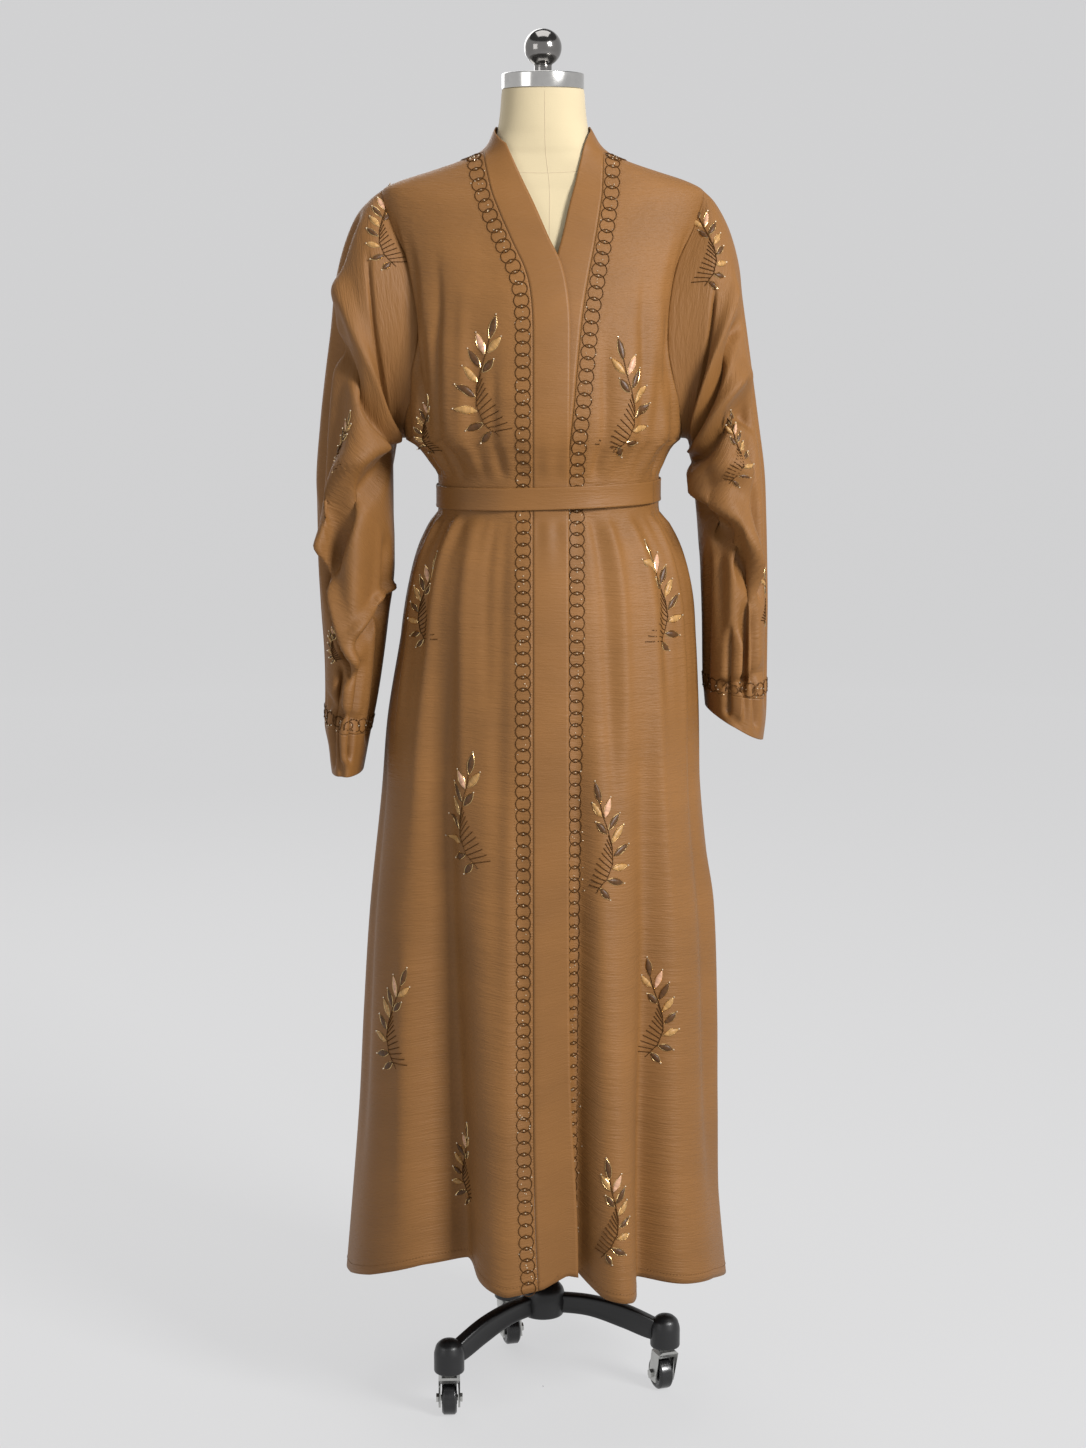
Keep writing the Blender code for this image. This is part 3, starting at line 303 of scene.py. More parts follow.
# Soft creases on the body: angle and height at each end, half width, depth.
CREASES = np.array((
    (-74.0, 1.15, -70.0, 0.95, 3.0, -0.0035), (-66.0, 1.15, -61.0, 0.85, 3.4, 0.0030),
    (-57.0, 1.15, -52.0, 0.98, 2.8, -0.0032), (-48.0, 1.15, -47.0, 0.70, 3.2, 0.0030),
    (-33.0, 1.15, -28.0, 0.60, 3.5, 0.0030), (-24.0, 1.15, -20.0, 0.90, 2.8, -0.0022),
    (-17.0, 1.15, -13.0, 0.45, 3.6, -0.0030), (24.0, 1.15, 25.0, 0.75, 2.8, -0.0026),
    (31.0, 1.15, 30.0, 0.85, 2.6, 0.0026), (44.0, 1.15, 45.0, 0.60, 3.2, 0.0030),
    (52.0, 1.15, 50.0, 0.92, 3.0, -0.0032), (61.0, 1.15, 62.0, 0.75, 3.2, 0.0030),
    (70.0, 1.15, 68.0, 0.90, 3.0, -0.0034), (80.0, 1.15, 78.0, 0.80, 3.2, 0.0030),
    (-69.0, 1.215, -64.0, 1.36, 3.2, -0.0034), (-60.0, 1.215, -50.0, 1.44, 3.0, 0.0030),
    (-45.0, 1.215, -40.0, 1.50, 2.6, -0.0030), (-33.0, 1.215, -30.0, 1.44, 2.6, 0.0022),
    (-20.0, 1.215, -19.0, 1.36, 2.6, -0.0022), (26.0, 1.215, 24.0, 1.38, 2.6, -0.0026),
    (42.0, 1.215, 39.0, 1.47, 2.8, -0.0026), (57.0, 1.215, 49.0, 1.42, 3.0, 0.0026),
    (66.0, 1.215, 58.0, 1.38, 3.0, -0.0034), (100.0, 1.15, 98.0, 0.90, 3.2, -0.0032),
    (110.0, 1.15, 108.0, 0.70, 3.4, 0.0030), (130.0, 1.15, 128.0, 0.80, 3.2, -0.0030),
    (141.0, 1.15, 140.0, 0.60, 3.2, 0.0028), (160.0, 1.15, 161.0, 0.85, 3.2, -0.0030),
    (171.0, 1.15, 171.0, 0.70, 3.2, 0.0026), (182.0, 1.15, 183.0, 0.55, 3.4, -0.0028),
    (193.0, 1.15, 194.0, 0.80, 3.2, 0.0028), (214.0, 1.15, 216.0, 0.70, 3.2, -0.0030),
    (225.0, 1.15, 226.0, 0.90, 3.2, 0.0030), (246.0, 1.15, 248.0, 0.80, 3.2, -0.0030),
    (258.0, 1.15, 259.0, 0.95, 3.2, 0.0028), (118.0, 1.215, 124.0, 1.38, 3.2, -0.0028),
    (150.0, 1.215, 152.0, 1.36, 3.0, -0.0026), (166.0, 1.215, 166.0, 1.40, 3.0, 0.0022),
    (180.0, 1.215, 180.0, 1.36, 3.0, -0.0022), (197.0, 1.215, 196.0, 1.40, 3.0, 0.0022),
    (211.0, 1.215, 209.0, 1.36, 3.0, -0.0026), (242.0, 1.215, 236.0, 1.38, 3.2, -0.0028),
    (-78.0, 0.84, -66.0, 0.30, 6.0, -0.0040), (66.0, 0.90, 64.0, 0.28, 5.0, -0.0050),
    (-46.0, 0.62, -42.0, 0.24, 4.0, 0.0040), (78.0, 0.70, 76.0, 0.24, 5.0, 0.0035),
    (-8.0, 0.80, -5.0, 0.30, 3.0, -0.0030), (17.0, 0.70, 16.0, 0.28, 2.6, 0.0022),
    (-64.0, 1.55, -52.0, 1.26, -5.0, -0.0060), (-52.0, 1.54, -45.0, 1.27, 4.0, 0.0030),
    (64.0, 1.55, 53.0, 1.26, 4.5, -0.0055), (50.0, 1.54, 46.0, 1.27, 4.0, 0.0028),
    (128.0, 1.54, 132.0, 1.26, 5.0, -0.0045), (232.0, 1.54, 228.0, 1.26, 5.0, -0.0045),
))
# Sleeve creases: ring angle and place at each end, half width in mm (negative: lapped), depth.
ARM_BACK_CREASES = (
    (225.0, 0.15, 255.0, 0.55, -12.0, 0.0070), (285.0, 0.22, 262.0, 0.60, 11.0, -0.0065),
    (205.0, 0.35, 200.0, 0.90, 11.0, -0.0040), (235.0, 0.58, 250.0, 0.93, 11.0, -0.0055),
    (305.0, 0.40, 275.0, 0.66, -11.0, 0.0060), (330.0, 0.20, 325.0, 0.80, 11.0, -0.0040),
    (270.0, 0.68, 278.0, 0.95, 10.0, 0.0045),
)
RIGHT_ARM_CREASES = np.array((
    (150.0, 0.10, 45.0, 0.56, -15.0, 0.0100), (162.0, 0.125, 57.0, 0.585, 9.0, -0.0090),
    (100.0, 0.70, 45.0, 0.56, -12.0, 0.0080), (92.0, 0.725, 37.0, 0.585, 8.0, -0.0080),
    (98.0, 0.64, 165.0, 0.50, -10.0, 0.0060), (106.0, 0.665, 168.0, 0.53, 8.0, -0.0065),
    (20.0, 0.20, 145.0, 0.08, 14.0, 0.0060), (28.0, 0.30, 148.0, 0.13, 10.0, -0.0080),
    (15.0, 0.08, 30.0, 0.52, 11.0, -0.0060), (60.0, 0.02, 135.0, 0.04, 9.0, -0.0050),
    (70.0, 0.73, 50.0, 0.96, 8.0, -0.0065), (92.0, 0.72, 96.0, 0.95, 9.0, 0.0050),
    (118.0, 0.70, 106.0, 0.93, 8.0, -0.0060), (38.0, 0.80, 125.0, 0.82, 7.0, -0.0035),
    (12.0, 0.55, 20.0, 0.92, 10.0, -0.0040), (150.0, 0.40, 160.0, 0.85, 11.0, -0.0045),
) + ARM_BACK_CREASES)
LEFT_ARM_CREASES = np.array((
    (166.0, 0.03, 75.0, 0.03, 8.0, -0.0055), (166.0, 0.04, 45.0, 0.14, 11.0, 0.0065),
    (165.0, 0.06, 40.0, 0.24, -12.0, -0.0080), (163.0, 0.08, 38.0, 0.33, 10.0, 0.0070),
    (160.0, 0.11, 40.0, 0.40, -12.0, -0.0085), (158.0, 0.15, 52.0, 0.48, 10.0, 0.0070),
    (150.0, 0.22, 58.0, 0.62, -14.0, 0.0095), (160.0, 0.25, 68.0, 0.645, 9.0, -0.0095),
    (56.0, 0.44, 44.0, 0.66, 9.0, -0.0060), (78.0, 0.66, 84.0, 0.84, 8.0, -0.0060),
    (60.0, 0.70, 50.0, 0.96, 8.0, -0.0060), (92.0, 0.72, 90.0, 0.95, 9.0, 0.0050),
    (108.0, 0.70, 112.0, 0.95, 8.0, -0.0055), (40.0, 0.80, 128.0, 0.82, 7.0, -0.0035),
    (14.0, 0.25, 20.0, 0.85, 10.0, -0.0045), (150.0, 0.45, 162.0, 0.85, 11.0, -0.0045),
) + ARM_BACK_CREASES)
# Leaf sprays: piece, x, z, tilt in degrees, size, side on which the big leaves lie.
SPRAYS = (
    ("sleeve_right", -0.197, 1.508, 14, 0.90, -1), ("sleeve_left", 0.206, 1.490, -14, 0.90, 1),
    ("front_right", -0.076, 1.322, 4, 1.18, -1), ("front_left", 0.108, 1.296, -4, 1.18, 1),
    ("sleeve_right", -0.248, 1.245, 6, 0.62, -1), ("sleeve_left", 0.240, 1.240, -6, 0.70, 1),
    ("front_right", -0.145, 1.268, 10, 0.60, -1), ("sleeve_right", -0.262, 1.000, 4, 0.40, -1),
    ("sleeve_left", 0.276, 1.052, -4, 0.55, 1), ("front_right", -0.148, 1.056, 8, 0.90, -1),
    ("front_left", 0.148, 1.058, -10, 1.05, 1), ("front_right", -0.098, 0.798, 2, 1.15, -1),
    ("front_left", 0.082, 0.766, -4, 1.08, 1), ("front_right", -0.190, 0.536, 12, 1.05, -1),
    ("front_left", 0.143, 0.548, -8, 1.02, 1), ("front_right", -0.100, 0.352, 4, 0.80, -1),
    ("front_left", 0.088, 0.309, -2, 1.00, 1),
) + tuple(
    ("back", side * x, z, -side * tilt, size, side) for x, z, tilt, size in (
        (0.120, 1.440, 10, 1.00), (0.070, 1.290, 4, 0.95), (0.125, 1.030, 6, 1.00),
        (0.080, 0.760, 2, 1.05), (0.160, 0.510, 10, 1.05), (0.075, 0.310, 4, 1.00))
    for side in (-1, 1))
# One spray, in millimetres on its own sheet: foot x and z, lean, length, finish.
LEAVES = (
    (-6.0, 44.0, -4.0, 25.0, "brown"), (-5.5, 30.0, -38.0, 22.0, "gold"),
    (-2.5, 28.0, 28.0, 24.0, "shell"), (0.5, 14.0, 40.0, 24.0, "brown"),
    (2.5, -1.0, 46.0, 24.0, "gold"), (-2.0, 10.0, -34.0, 18.0, "brown"),
    (3.0, -16.0, 60.0, 23.0, "brown"), (-0.5, -30.0, 84.0, 22.0, "gold"),
    (-8.0, -42.0, 110.0, 21.0, "brown"), (-18.0, -50.0, 138.0, 17.0, "brown"),
)
STEM = np.array(((-6.0, 46.0), (-4.0, 30.0), (0.0, 12.0), (2.5, -6.0), (1.0, -24.0),
                 (-8.0, -41.0), (-25.0, -54.0)))


def smoothstep(value):
    """Ramp 3 v squared - 2 v cubed from 0 to 1, flat outside."""
    value = np.clip(value, 0.0, 1.0)
    return value * value * (3.0 - 2.0 * value)


def unit(vectors):
    """Vectors along the last axis, brought to length one."""
    return vectors / np.maximum(np.linalg.norm(vectors, axis=-1, keepdims=True), 1e-12)


def spline(table, at):
    """Cubic through a table's rows whose slopes are limited so that it never overshoots."""
    x, y = table[:, 0], table[:, 1:]
    slope = np.diff(y, axis=0) / np.diff(x)[:, None]
    tangent = np.vstack((slope[:1], (slope[1:] + slope[:-1]) / 2.0, slope[-1:]))
    limit = 3.0 * np.minimum(np.abs(slope[1:]), np.abs(slope[:-1]))
    inner = np.sign(tangent[1:-1]) * np.minimum(np.abs(tangent[1:-1]), limit)
    tangent[1:-1] = np.where(slope[1:] * slope[:-1] > 0.0, inner, 0.0)
    at = np.asarray(at, float)
    i = np.clip(np.searchsorted(x, at) - 1, 0, len(x) - 2)
    h = (x[i + 1] - x[i])[..., None]
    t = np.clip((at - x[i])[..., None] / h, 0.0, 1.0)
    a, b = (1 + 2 * t) * (1 - t) ** 2, t * (1 - t) ** 2
    c, d = t * t * (3 - 2 * t), t * t * (t - 1)
    return a * y[i] + b * h * tangent[i] + c * y[i + 1] + d * h * tangent[i + 1]


def turn_distance(angle, centre):
    return (angle - centre + 180.0) % 360.0 - 180.0


def bell(angle, centre, width):
    return np.exp(-(turn_distance(angle, centre) / width) ** 2)


def fold_line(distance, width):
    """Bell curve; a negative width makes its right side a third as wide, like a lapped fold."""
    near = distance / abs(width)
    if width < 0.0:
        near = np.where(near > 0.0, near * 3.0, near)
    return np.exp(-near ** 2)


def fold_depth(angle, height, under):
    """Sum over the folds of depth x growth below its top x a bell curve across it."""
    depth = np.zeros(np.broadcast(angle, height).shape)
    for hem, top, width, size, start, power in np.vstack((FOLDS, UNDER_FOLD)[:1 + under]):
        down = np.clip((start - height) / (start - HEM_ROW), 0.0, 1.1)
        near = bell(angle, top + (hem - top) * np.minimum(down, 1.0), width)
        depth += size * down ** power * smoothstep(down * 6.0) * near
    for centre, width, size, low, high in BODICE_FOLDS:
        rise = smoothstep((height - low) / 0.05) * smoothstep((high - height) / 0.06)
        depth += size * rise * bell(angle, centre, width)
    return depth


def crease_depth(angle, height):
    """Bell curve across each crease's line, fading in and out along it, plus belt gathers."""
    depth = np.zeros(np.broadcast(angle, height).shape)
    for a0, h0, a1, h1, width, size in CREASES:
        along = (height - h0) / (h1 - h0)
        fade = smoothstep(along * 5.0 + 0.6) * smoothstep((1.08 - along) * 2.2)
        near = turn_distance(angle, a0 + (a1 - a0) * np.clip(along, 0.0, 1.0))
        depth += CREASE_GAIN * size * fade * fold_line(near, width)
    turn, away = np.radians(angle), np.abs(height - BELT_HEIGHT)
    clear = smoothstep((away - 0.018) / 0.016)
    gathers = clear * np.exp(-((away - 0.03) / 0.040) ** 2) * (0.35 + 0.65 * np.sin(turn) ** 2)
    depth += 0.0021 * gathers * np.sin(turn * 37 + 1.1 * np.sin(turn * 5))
    return depth * clear * smoothstep((1.53 - height) / 0.08)


def ring_point(table, angle, height):
    """Ellipse whose half widths and depths blend round it, a little fuller on the diagonals."""
    right, left, front, back = np.moveaxis(spline(table, height), -1, 0)
    turn = np.radians(angle)
    sine, cosine = np.sin(turn), np.cos(turn)
    across = (left + right) / 2 + (left - right) / 2 * sine
    deep = (front + back) / 2 + (front - back) / 2 * cosine
    fuller = 1.0 + 0.045 * np.sin(2 * turn) ** 2
    return across * sine * fuller, -deep * cosine * fuller


def body_point(angle, height, lift=0.0, under=True, creased=True):
    """Ring point pushed outwards by the folds, the creases and a lift."""
    angle, height = np.broadcast_arrays(np.asarray(angle, float), np.asarray(height, float))
    x, y = ring_point(RINGS, angle, height)
    push = fold_depth(angle, height, under) + lift
    if creased:
        push = push + crease_depth(angle, height)
    scale = 1.0 + push / np.hypot(x, y)
    return np.stack((x * scale, y * scale + BACK_SHIFT, height), axis=-1)


def right_surface(angle, height):
    """Body surface, lifted near the front centre where it laps over the left front."""
    x, _ = ring_point(RINGS, np.asarray(angle, float), np.asarray(height, float))
    lift = WRAP * smoothstep((x + 0.080) / 0.045)
    lift = lift * smoothstep(np.cos(np.radians(angle)) / 0.45)
    return body_point(angle, height, lift, under=False)


Side = namedtuple("Side", "key sign surface band sleeve folds creases")
SIDES = (
    Side("right", -1, right_surface, RIGHT_BAND, RIGHT_SLEEVE, RIGHT_SLEEVE_FOLDS,
         RIGHT_ARM_CREASES),
    Side("left", 1, body_point, LEFT_BAND, LEFT_SLEEVE, LEFT_SLEEVE_FOLDS, LEFT_ARM_CREASES),
)


def angle_at(x, height):
    """Angle of the front point of a ring that lies at x, by halving the range."""
    low, high = np.full(np.shape(height), -89.9), np.full(np.shape(height), 89.9)
    for _ in range(40):
        middle = (low + high) / 2
        less = ring_point(RINGS, middle, height)[0] < x
        low, high = np.where(less, middle, low), np.where(less, high, middle)
    return (low + high) / 2


def hem_shift(angle, height):
    """Slides the lowest rows so that the last one follows the hem's curve."""
    wanted = np.interp((np.asarray(angle) + 90.0) % 360.0 - 90.0, HEM[:, 0], HEM[:, 1])
    share = np.clip((0.95 - height) / (0.95 - HEM_ROW), 0.0, 1.0)
    return height + (wanted - HEM_ROW) * share


def grid_normals(points, closed=False):
    """Cross product of the differences along the rows and down the columns."""
    if closed:
        along = np.roll(points, -1, axis=1) - np.roll(points, 1, axis=1)
    else:
        along = np.gradient(points, axis=1)
    return unit(np.cross(along, np.gradient(points, axis=0)))


def facing_out(normals, arms):
    """Normals, all turned round if on the whole they point against the arms."""
    return -normals if np.mean(np.sum(normals * arms, axis=-1)) < 0.0 else normals


def body_normals(points):
    return facing_out(grid_normals(points), points * (1.0, 1.0, 0.0))


def grid_area(points, closed=False):
    if closed:
        points = np.concatenate((points, points[:, :1]), axis=1)
    a = points[1:, :-1] - points[:-1, :-1]
    b = points[:-1, 1:] - points[:-1, :-1]
    return float(np.linalg.norm(np.cross(a, b), axis=-1).sum())


def fine_rows(count):
    """Heights from hem to neck, denser near the belt and over the shoulders."""
    knots = np.array(((0.0, HEM_ROW), (0.50, 1.05), (0.62, 1.22), (0.86, 1.54), (1.0, NECK)))
    return np.interp(np.linspace(0.0, 1.0, count), knots[:, 0], knots[:, 1])


def side_angle(height):
    """Side seam at 90 degrees, cut in by half an ellipse at the armhole."""
    middle, half = (SHOULDER + UNDERARM) / 2, (SHOULDER - UNDERARM) / 2
    level = np.clip((height - middle) / half, -1.0, 1.0)
    return 90.0 - ARM_DIP * np.sqrt(1.0 - level ** 2)


def gap_angle(angle, height):
    """Half a slit's width, in degrees at this place on the ring."""
    x0, y0 = ring_point(RINGS, angle - 0.5, height)
    x1, y1 = ring_point(RINGS, angle + 0.5, height)
    return GAP / 2 / np.hypot(x1 - x0, y1 - y0)


def panel_grid(first, last, surface, height, columns):
    """Straight steps of angle between two edges, from the hem to the neck."""
    angle = first[:, None] + (last - first)[:, None] * np.linspace(0.0, 1.0, columns)
    return surface(angle, hem_shift(angle, height[:, None] + 0 * angle))


def front_panel_grid(side, height, columns):
    first = angle_at(spline(side.band, height)[:, 0], height)
    last = side.sign * side_angle(height)
    edges = (first + side.sign * gap_angle(first, height),
             last - side.sign * gap_angle(last, height))
    return panel_grid(*edges[::side.sign], side.surface, height, columns)


def band_grid(side, rows, columns):
    """Seam edge to free edge in straight steps of angle and height, hem to centre back."""
    height = fine_rows(rows)
    seam_x, free_height, free_x = spline(side.band, height).T
    seam = np.stack((angle_at(seam_x, height), height), 1)
    free = np.stack((angle_at(free_x, free_height), free_height), 1)
    behind = (126.0, 135.0, 144.0, 153.0, 162.0, 171.0, 179.85)
    table = np.stack((np.arange(13.0),
                      (abs(seam[-1, 0]), 75.0, 90.0, 99.0, 108.0, 117.0) + behind,
                      (abs(free[-1, 0]), 58.0, 79.0, 93.0, 105.0, 116.0) + behind,
                      (free[-1, 1], 1.6210, 1.6295) + (1.632,) * 10), 1)
    seam_turn, free_turn, level = spline(table, np.linspace(0.0, 12.0, 90)[1:]).T
    seam[:, 0] -= side.sign * gap_angle(seam[:, 0], seam[:, 1])
    seam = np.vstack((seam, np.stack((side.sign * seam_turn, NECK + GAP + 0 * level), 1)))
    free = np.vstack((free, np.stack((side.sign * free_turn, level), 1)))
    share = np.linspace(0.0, 1.0, columns)
    angle = seam[:, :1] + (free[:, :1] - seam[:, :1]) * share
    level = hem_shift(angle, seam[:, 1:] + (free[:, 1:] - seam[:, 1:]) * share)
    return side.surface(angle[:, ::-side.sign], level[:, ::-side.sign])


def arm_grid(side, rows, columns):
    """Armhole loop, then ellipses between outer and inner points, joined down the arm."""
    turn = np.arange(columns) * 360.0 / columns
    sine, cosine = np.sin(np.radians(turn)), np.cos(np.radians(turn))
    middle, half = (SHOULDER + UNDERARM) / 2, (SHOULDER - UNDERARM) / 2
    rings = [side.surface(side.sign * (90.0 - ARM_DIP * sine), middle + half * cosine)]
    places = np.linspace(0.0, 1.0, len(side.sleeve))
    for (ox, oz, ix, iz, deep, mid_y), place in zip(side.sleeve, places):
        near = turn_distance(turn[:, None], side.folds[:, 0]) / side.folds[:, 1]
        away = (place - side.folds[:, 3]) / side.folds[:, 4]
        wide = 1.0 + (side.folds[:, 2] * np.exp(-near ** 2 - away ** 2)).sum(1) / 0.06
        x = (ox + ix) / 2 + (ox - ix) / 2 * cosine * wide
        z = (oz + iz) / 2 + (oz - iz) / 2 * cosine
        rings.append(np.stack((side.sign * x, mid_y - deep * sine * wide + BACK_SHIFT, z), 1))
    rings = np.array(rings)
    knots = np.column_stack((np.arange(len(rings)), rings.reshape(len(rings), -1)))
    at = np.linspace(0.0, len(rings) - 1.0, rows)
    points = spline(knots, at).reshape(rows, columns, 3)
    normals = facing_out(grid_normals(points, closed=True),
                         points - points.mean(axis=1, keepdims=True))
    place = np.clip((at - 1.0) / (len(rings) - 2.0), 0.0, 1.0)[:, None]
    depth = np.zeros((rows, columns))
    for a0, p0, a1, p1, width, size in side.creases:
        way = np.array((ARM_DEGREE * (a1 - a0), ARM_LENGTH * (p1 - p0)))
        long = np.hypot(*way)
        way /= long
        x = ARM_DEGREE * (turn_distance(turn[None, :], (a0 + a1) / 2) + (a1 - a0) / 2)
        y = ARM_LENGTH * (place - p0)
        along, aside = (x * way[0] + y * way[1]) / long, x * way[1] - y * way[0]
        fade = smoothstep(along * 5.0 + 0.7) * smoothstep((1.0 - along) * 5.0 + 0.7)
        depth += ARM_GAIN * size * fade * fold_line(aside, width)
    depth *= smoothstep(place / 0.05) * smoothstep((1.0 - place) / 0.10 + 0.20)
    return points + normals * depth[..., None], normals


def settings():
    return bpy.context.scene.abaya_settings


def put(obj, slot=None, node=None, body=BODY):
    """Fixes a piece to its body, with its slot and the frame's node that it stands for."""
    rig.ride(obj, body)
    if node:
        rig.replaces(obj, node)
    if slot:
        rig.slot(obj, slot)


def mesh_from_arrays(name, points, faces, finish, uv=None, smooth=True):
    """Mesh from whole arrays; uv has one row per point."""
    mesh = bpy.data.meshes.new(name)
    faces = np.asarray(faces, np.int32)
    sides = faces.shape[1]
    mesh.vertices.add(len(points))
    mesh.vertices.foreach_set("co", np.ascontiguousarray(points, np.float32).ravel())
    mesh.loops.add(faces.size)
    mesh.loops.foreach_set("vertex_index", faces.ravel())
    mesh.polygons.add(len(faces))
    mesh.polygons.foreach_set("loop_start", np.arange(len(faces), dtype=np.int32) * sides)
    mesh.update(calc_edges=True)
    if uv is not None:
        layer = mesh.uv_layers.new(name="cloth")
        layer.uv.foreach_set("vector", np.ascontiguousarray(uv[faces.ravel()], np.float32).ravel())
    mesh.validate()
    mesh.polygons.foreach_set("use_smooth", np.full(len(mesh.polygons), smooth))
    obj = bpy.data.objects.new(name, mesh)
    bpy.context.scene.collection.objects.link(obj)
    mesh.materials.append(finish_named(finish))
    return obj


def grid_index(rows, columns, closed=False):
    index = np.arange(rows * columns).reshape(rows, columns)
    return np.hstack((index, index[:, :1])) if closed else index


def quads(index):
    """Four-sided faces between the neighbouring rows and columns of a grid of indices."""
    corners = index[:-1, :-1], index[:-1, 1:], index[1:, 1:], index[1:, :-1]
    return np.stack([corner.ravel() for corner in corners], 1)


def shell_faces(index, count, closed=False):
    """Faces of a grid and of its copy, count points on, and those that join their edges."""
    faces = [quads(index), quads(index)[:, ::-1] + count]
    edges = [index[0], index[-1][::-1]]
    if not closed:
        edges += [index[:, 0][::-1], index[:, -1]]
    for edge in edges:
        p, q = edge[:-1], edge[1:]
        faces.append(np.stack((q, p, p + count, q + count), 1))
    return np.vstack(faces)


def cloth_uv(points):
    """Metres along each row and down each column, so that a weave follows the cloth."""
    across = np.linalg.norm(np.diff(points, axis=1), axis=-1).mean(axis=0)
    down = np.linalg.norm(np.diff(points, axis=0), axis=-1).mean(axis=1)
    u, v = [np.concatenate(((0.0,), np.cumsum(steps))) for steps in (across, down)]
    return np.stack(np.broadcast_arrays(u[None, :], v[:, None]), axis=-1)


def outward(obj):
    work = bmesh.new()
    work.from_mesh(obj.data)
    bmesh.ops.recalc_face_normals(work, faces=work.faces)
    work.to_mesh(obj.data)
    work.free()


def cloth_piece(name, points, normals, finish, slot, node, flat, held, rests_on="form_body",
                wall=None, closed=False):
    """Grid copied half a wall out and in along its normals, fixed with its slot and node, and
    declared as a sheet whose flat cut is worked out from its area."""
    wall = wall or settings().wall
    rows, columns = points.shape[:2]
    both = [(points + normals * shift).reshape(-1, 3) for shift in (wall / 2, -wall / 2)]
    faces = shell_faces(grid_index(rows, columns, closed), rows * columns, closed)
    uv = np.tile(cloth_uv(points).reshape(-1, 2), (2, 1))
    piece = mesh_from_arrays(name, np.vstack(both), faces, finish, uv)
    outward(piece)
    put(piece, slot, node)
    area = grid_area(points, closed)
    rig.sheet(piece, flat=flat(area), held=held, rests_on=[rests_on], area=round(area, 4),
             with_pieces=[])


def strip_cut(width, waste):
    """Cut of a given width whose length is the area over it, with some waste."""
    return lambda area: (width, round(area / width * waste, 3))


def nodes_of(name):
    made = bpy.data.materials.new(name)
    made.use_nodes = True
    tree = made.node_tree
    return made, tree, tree.nodes["Principled BSDF"]


def set_inputs(node, values):
    for key, value in values.items():
        node.inputs[key].default_value = value


def coordinates(tree, cloth=False):
    """The cloth's own metres, or the object's."""
    if not cloth:
        return tree.nodes.new("ShaderNodeTexCoord").outputs["Object"]
    node = tree.nodes.new("ShaderNodeUVMap")
    node.uv_map = "cloth"
    return node.outputs["UV"]


def noise(tree, source, scale, stretch=(1, 1, 1), detail=3.0, rough=0.55):
    """Noise on a coordinate output, stretched by a Mapping node."""
    mapping = tree.nodes.new("ShaderNodeMapping")
    made = tree.nodes.new("ShaderNodeTexNoise")
    set_inputs(mapping, {"Scale": stretch})
    set_inputs(made, {"Scale": scale, "Detail": detail, "Roughness": rough})
    tree.links.new(source, mapping.inputs["Vector"])
    tree.links.new(mapping.outputs["Vector"], made.inputs["Vector"])
    return made.outputs["Fac"]


def tint(tree, shader, factor, colour, low, high=1.0):
    """Base colour that wanders between two shades of one colour."""
    ramp = tree.nodes.new("ShaderNodeValToRGB")
    for element, share, position in zip(ramp.color_ramp.elements, (low, high), (0.3, 0.7)):
        element.color = (*(min(1.0, c * share) for c in colour), 1)
        element.position = position
    tree.links.new(factor, ramp.inputs["Fac"])
    tree.links.new(ramp.outputs["Color"], shader.inputs["Base Color"])


def bump(tree, shader, heights):
    """Chain of Bump nodes; each entry is a height output, a strength and a distance."""
    last = None
    for source, strength, distance in heights:
        node = tree.nodes.new("ShaderNodeBump")
        set_inputs(node, {"Strength": strength, "Distance": distance})
        tree.links.new(source, node.inputs["Height"])
        if last:
            tree.links.new(last, node.inputs["Normal"])
        last = node.outputs["Normal"]
    tree.links.new(last, shader.inputs["Normal"])


def crepe_cloth(name, colour, share, rough):
    """Satin crepe: fine uneven crinkles across the cloth, a faint weave and a soft sheen."""
    made, tree, shader = nodes_of(name)
    uv, crinkle = coordinates(tree, cloth=True), settings().crinkle * share
    wide = noise(tree, uv, 1.0, (9, 55, 1), 4.0, 0.6)
    fine = noise(tree, uv, 1.0, (60, 420, 1), 3.0, 0.6)
    weave = noise(tree, uv, 1.0, (2600, 2600, 1), 1.0, 0.5)
    cloud = noise(tree, uv, 1.0, (5, 9, 1), 3.0, 0.55)
    tint(tree, shader, cloud, colour, 0.88, 1.08)
    bump(tree, shader, ((wide, 0.26 * crinkle, 0.006), (fine, 0.66 * crinkle, 0.0016),
                        (weave, 0.10, 0.0002)))
    set_inputs(shader, {"Roughness": rough, "Sheen Weight": 0.03, "Sheen Roughness": 0.45,
                        "Sheen Tint": (1.0, 0.80, 0.60, 1), "Specular IOR Level": 0.27})
    return made


def plain_cloth(name, colour, scale):
    """Plain matt weave for the form's cover."""
    made, tree, shader = nodes_of(name)
    place = coordinates(tree)
    weave = noise(tree, place, scale, (1, 1, 1), 2.0, 0.6)
    slub = noise(tree, place, 60.0, (1, 1, 9), 2.0, 0.5)
    tint(tree, shader, noise(tree, place, 14.0), colour, 0.93)
    bump(tree, shader, ((weave, 0.25, 0.0004), (slub, 0.10, 0.0005)))
    set_inputs(shader, {"Roughness": 0.85, "Sheen Weight": 0.15})
    return made


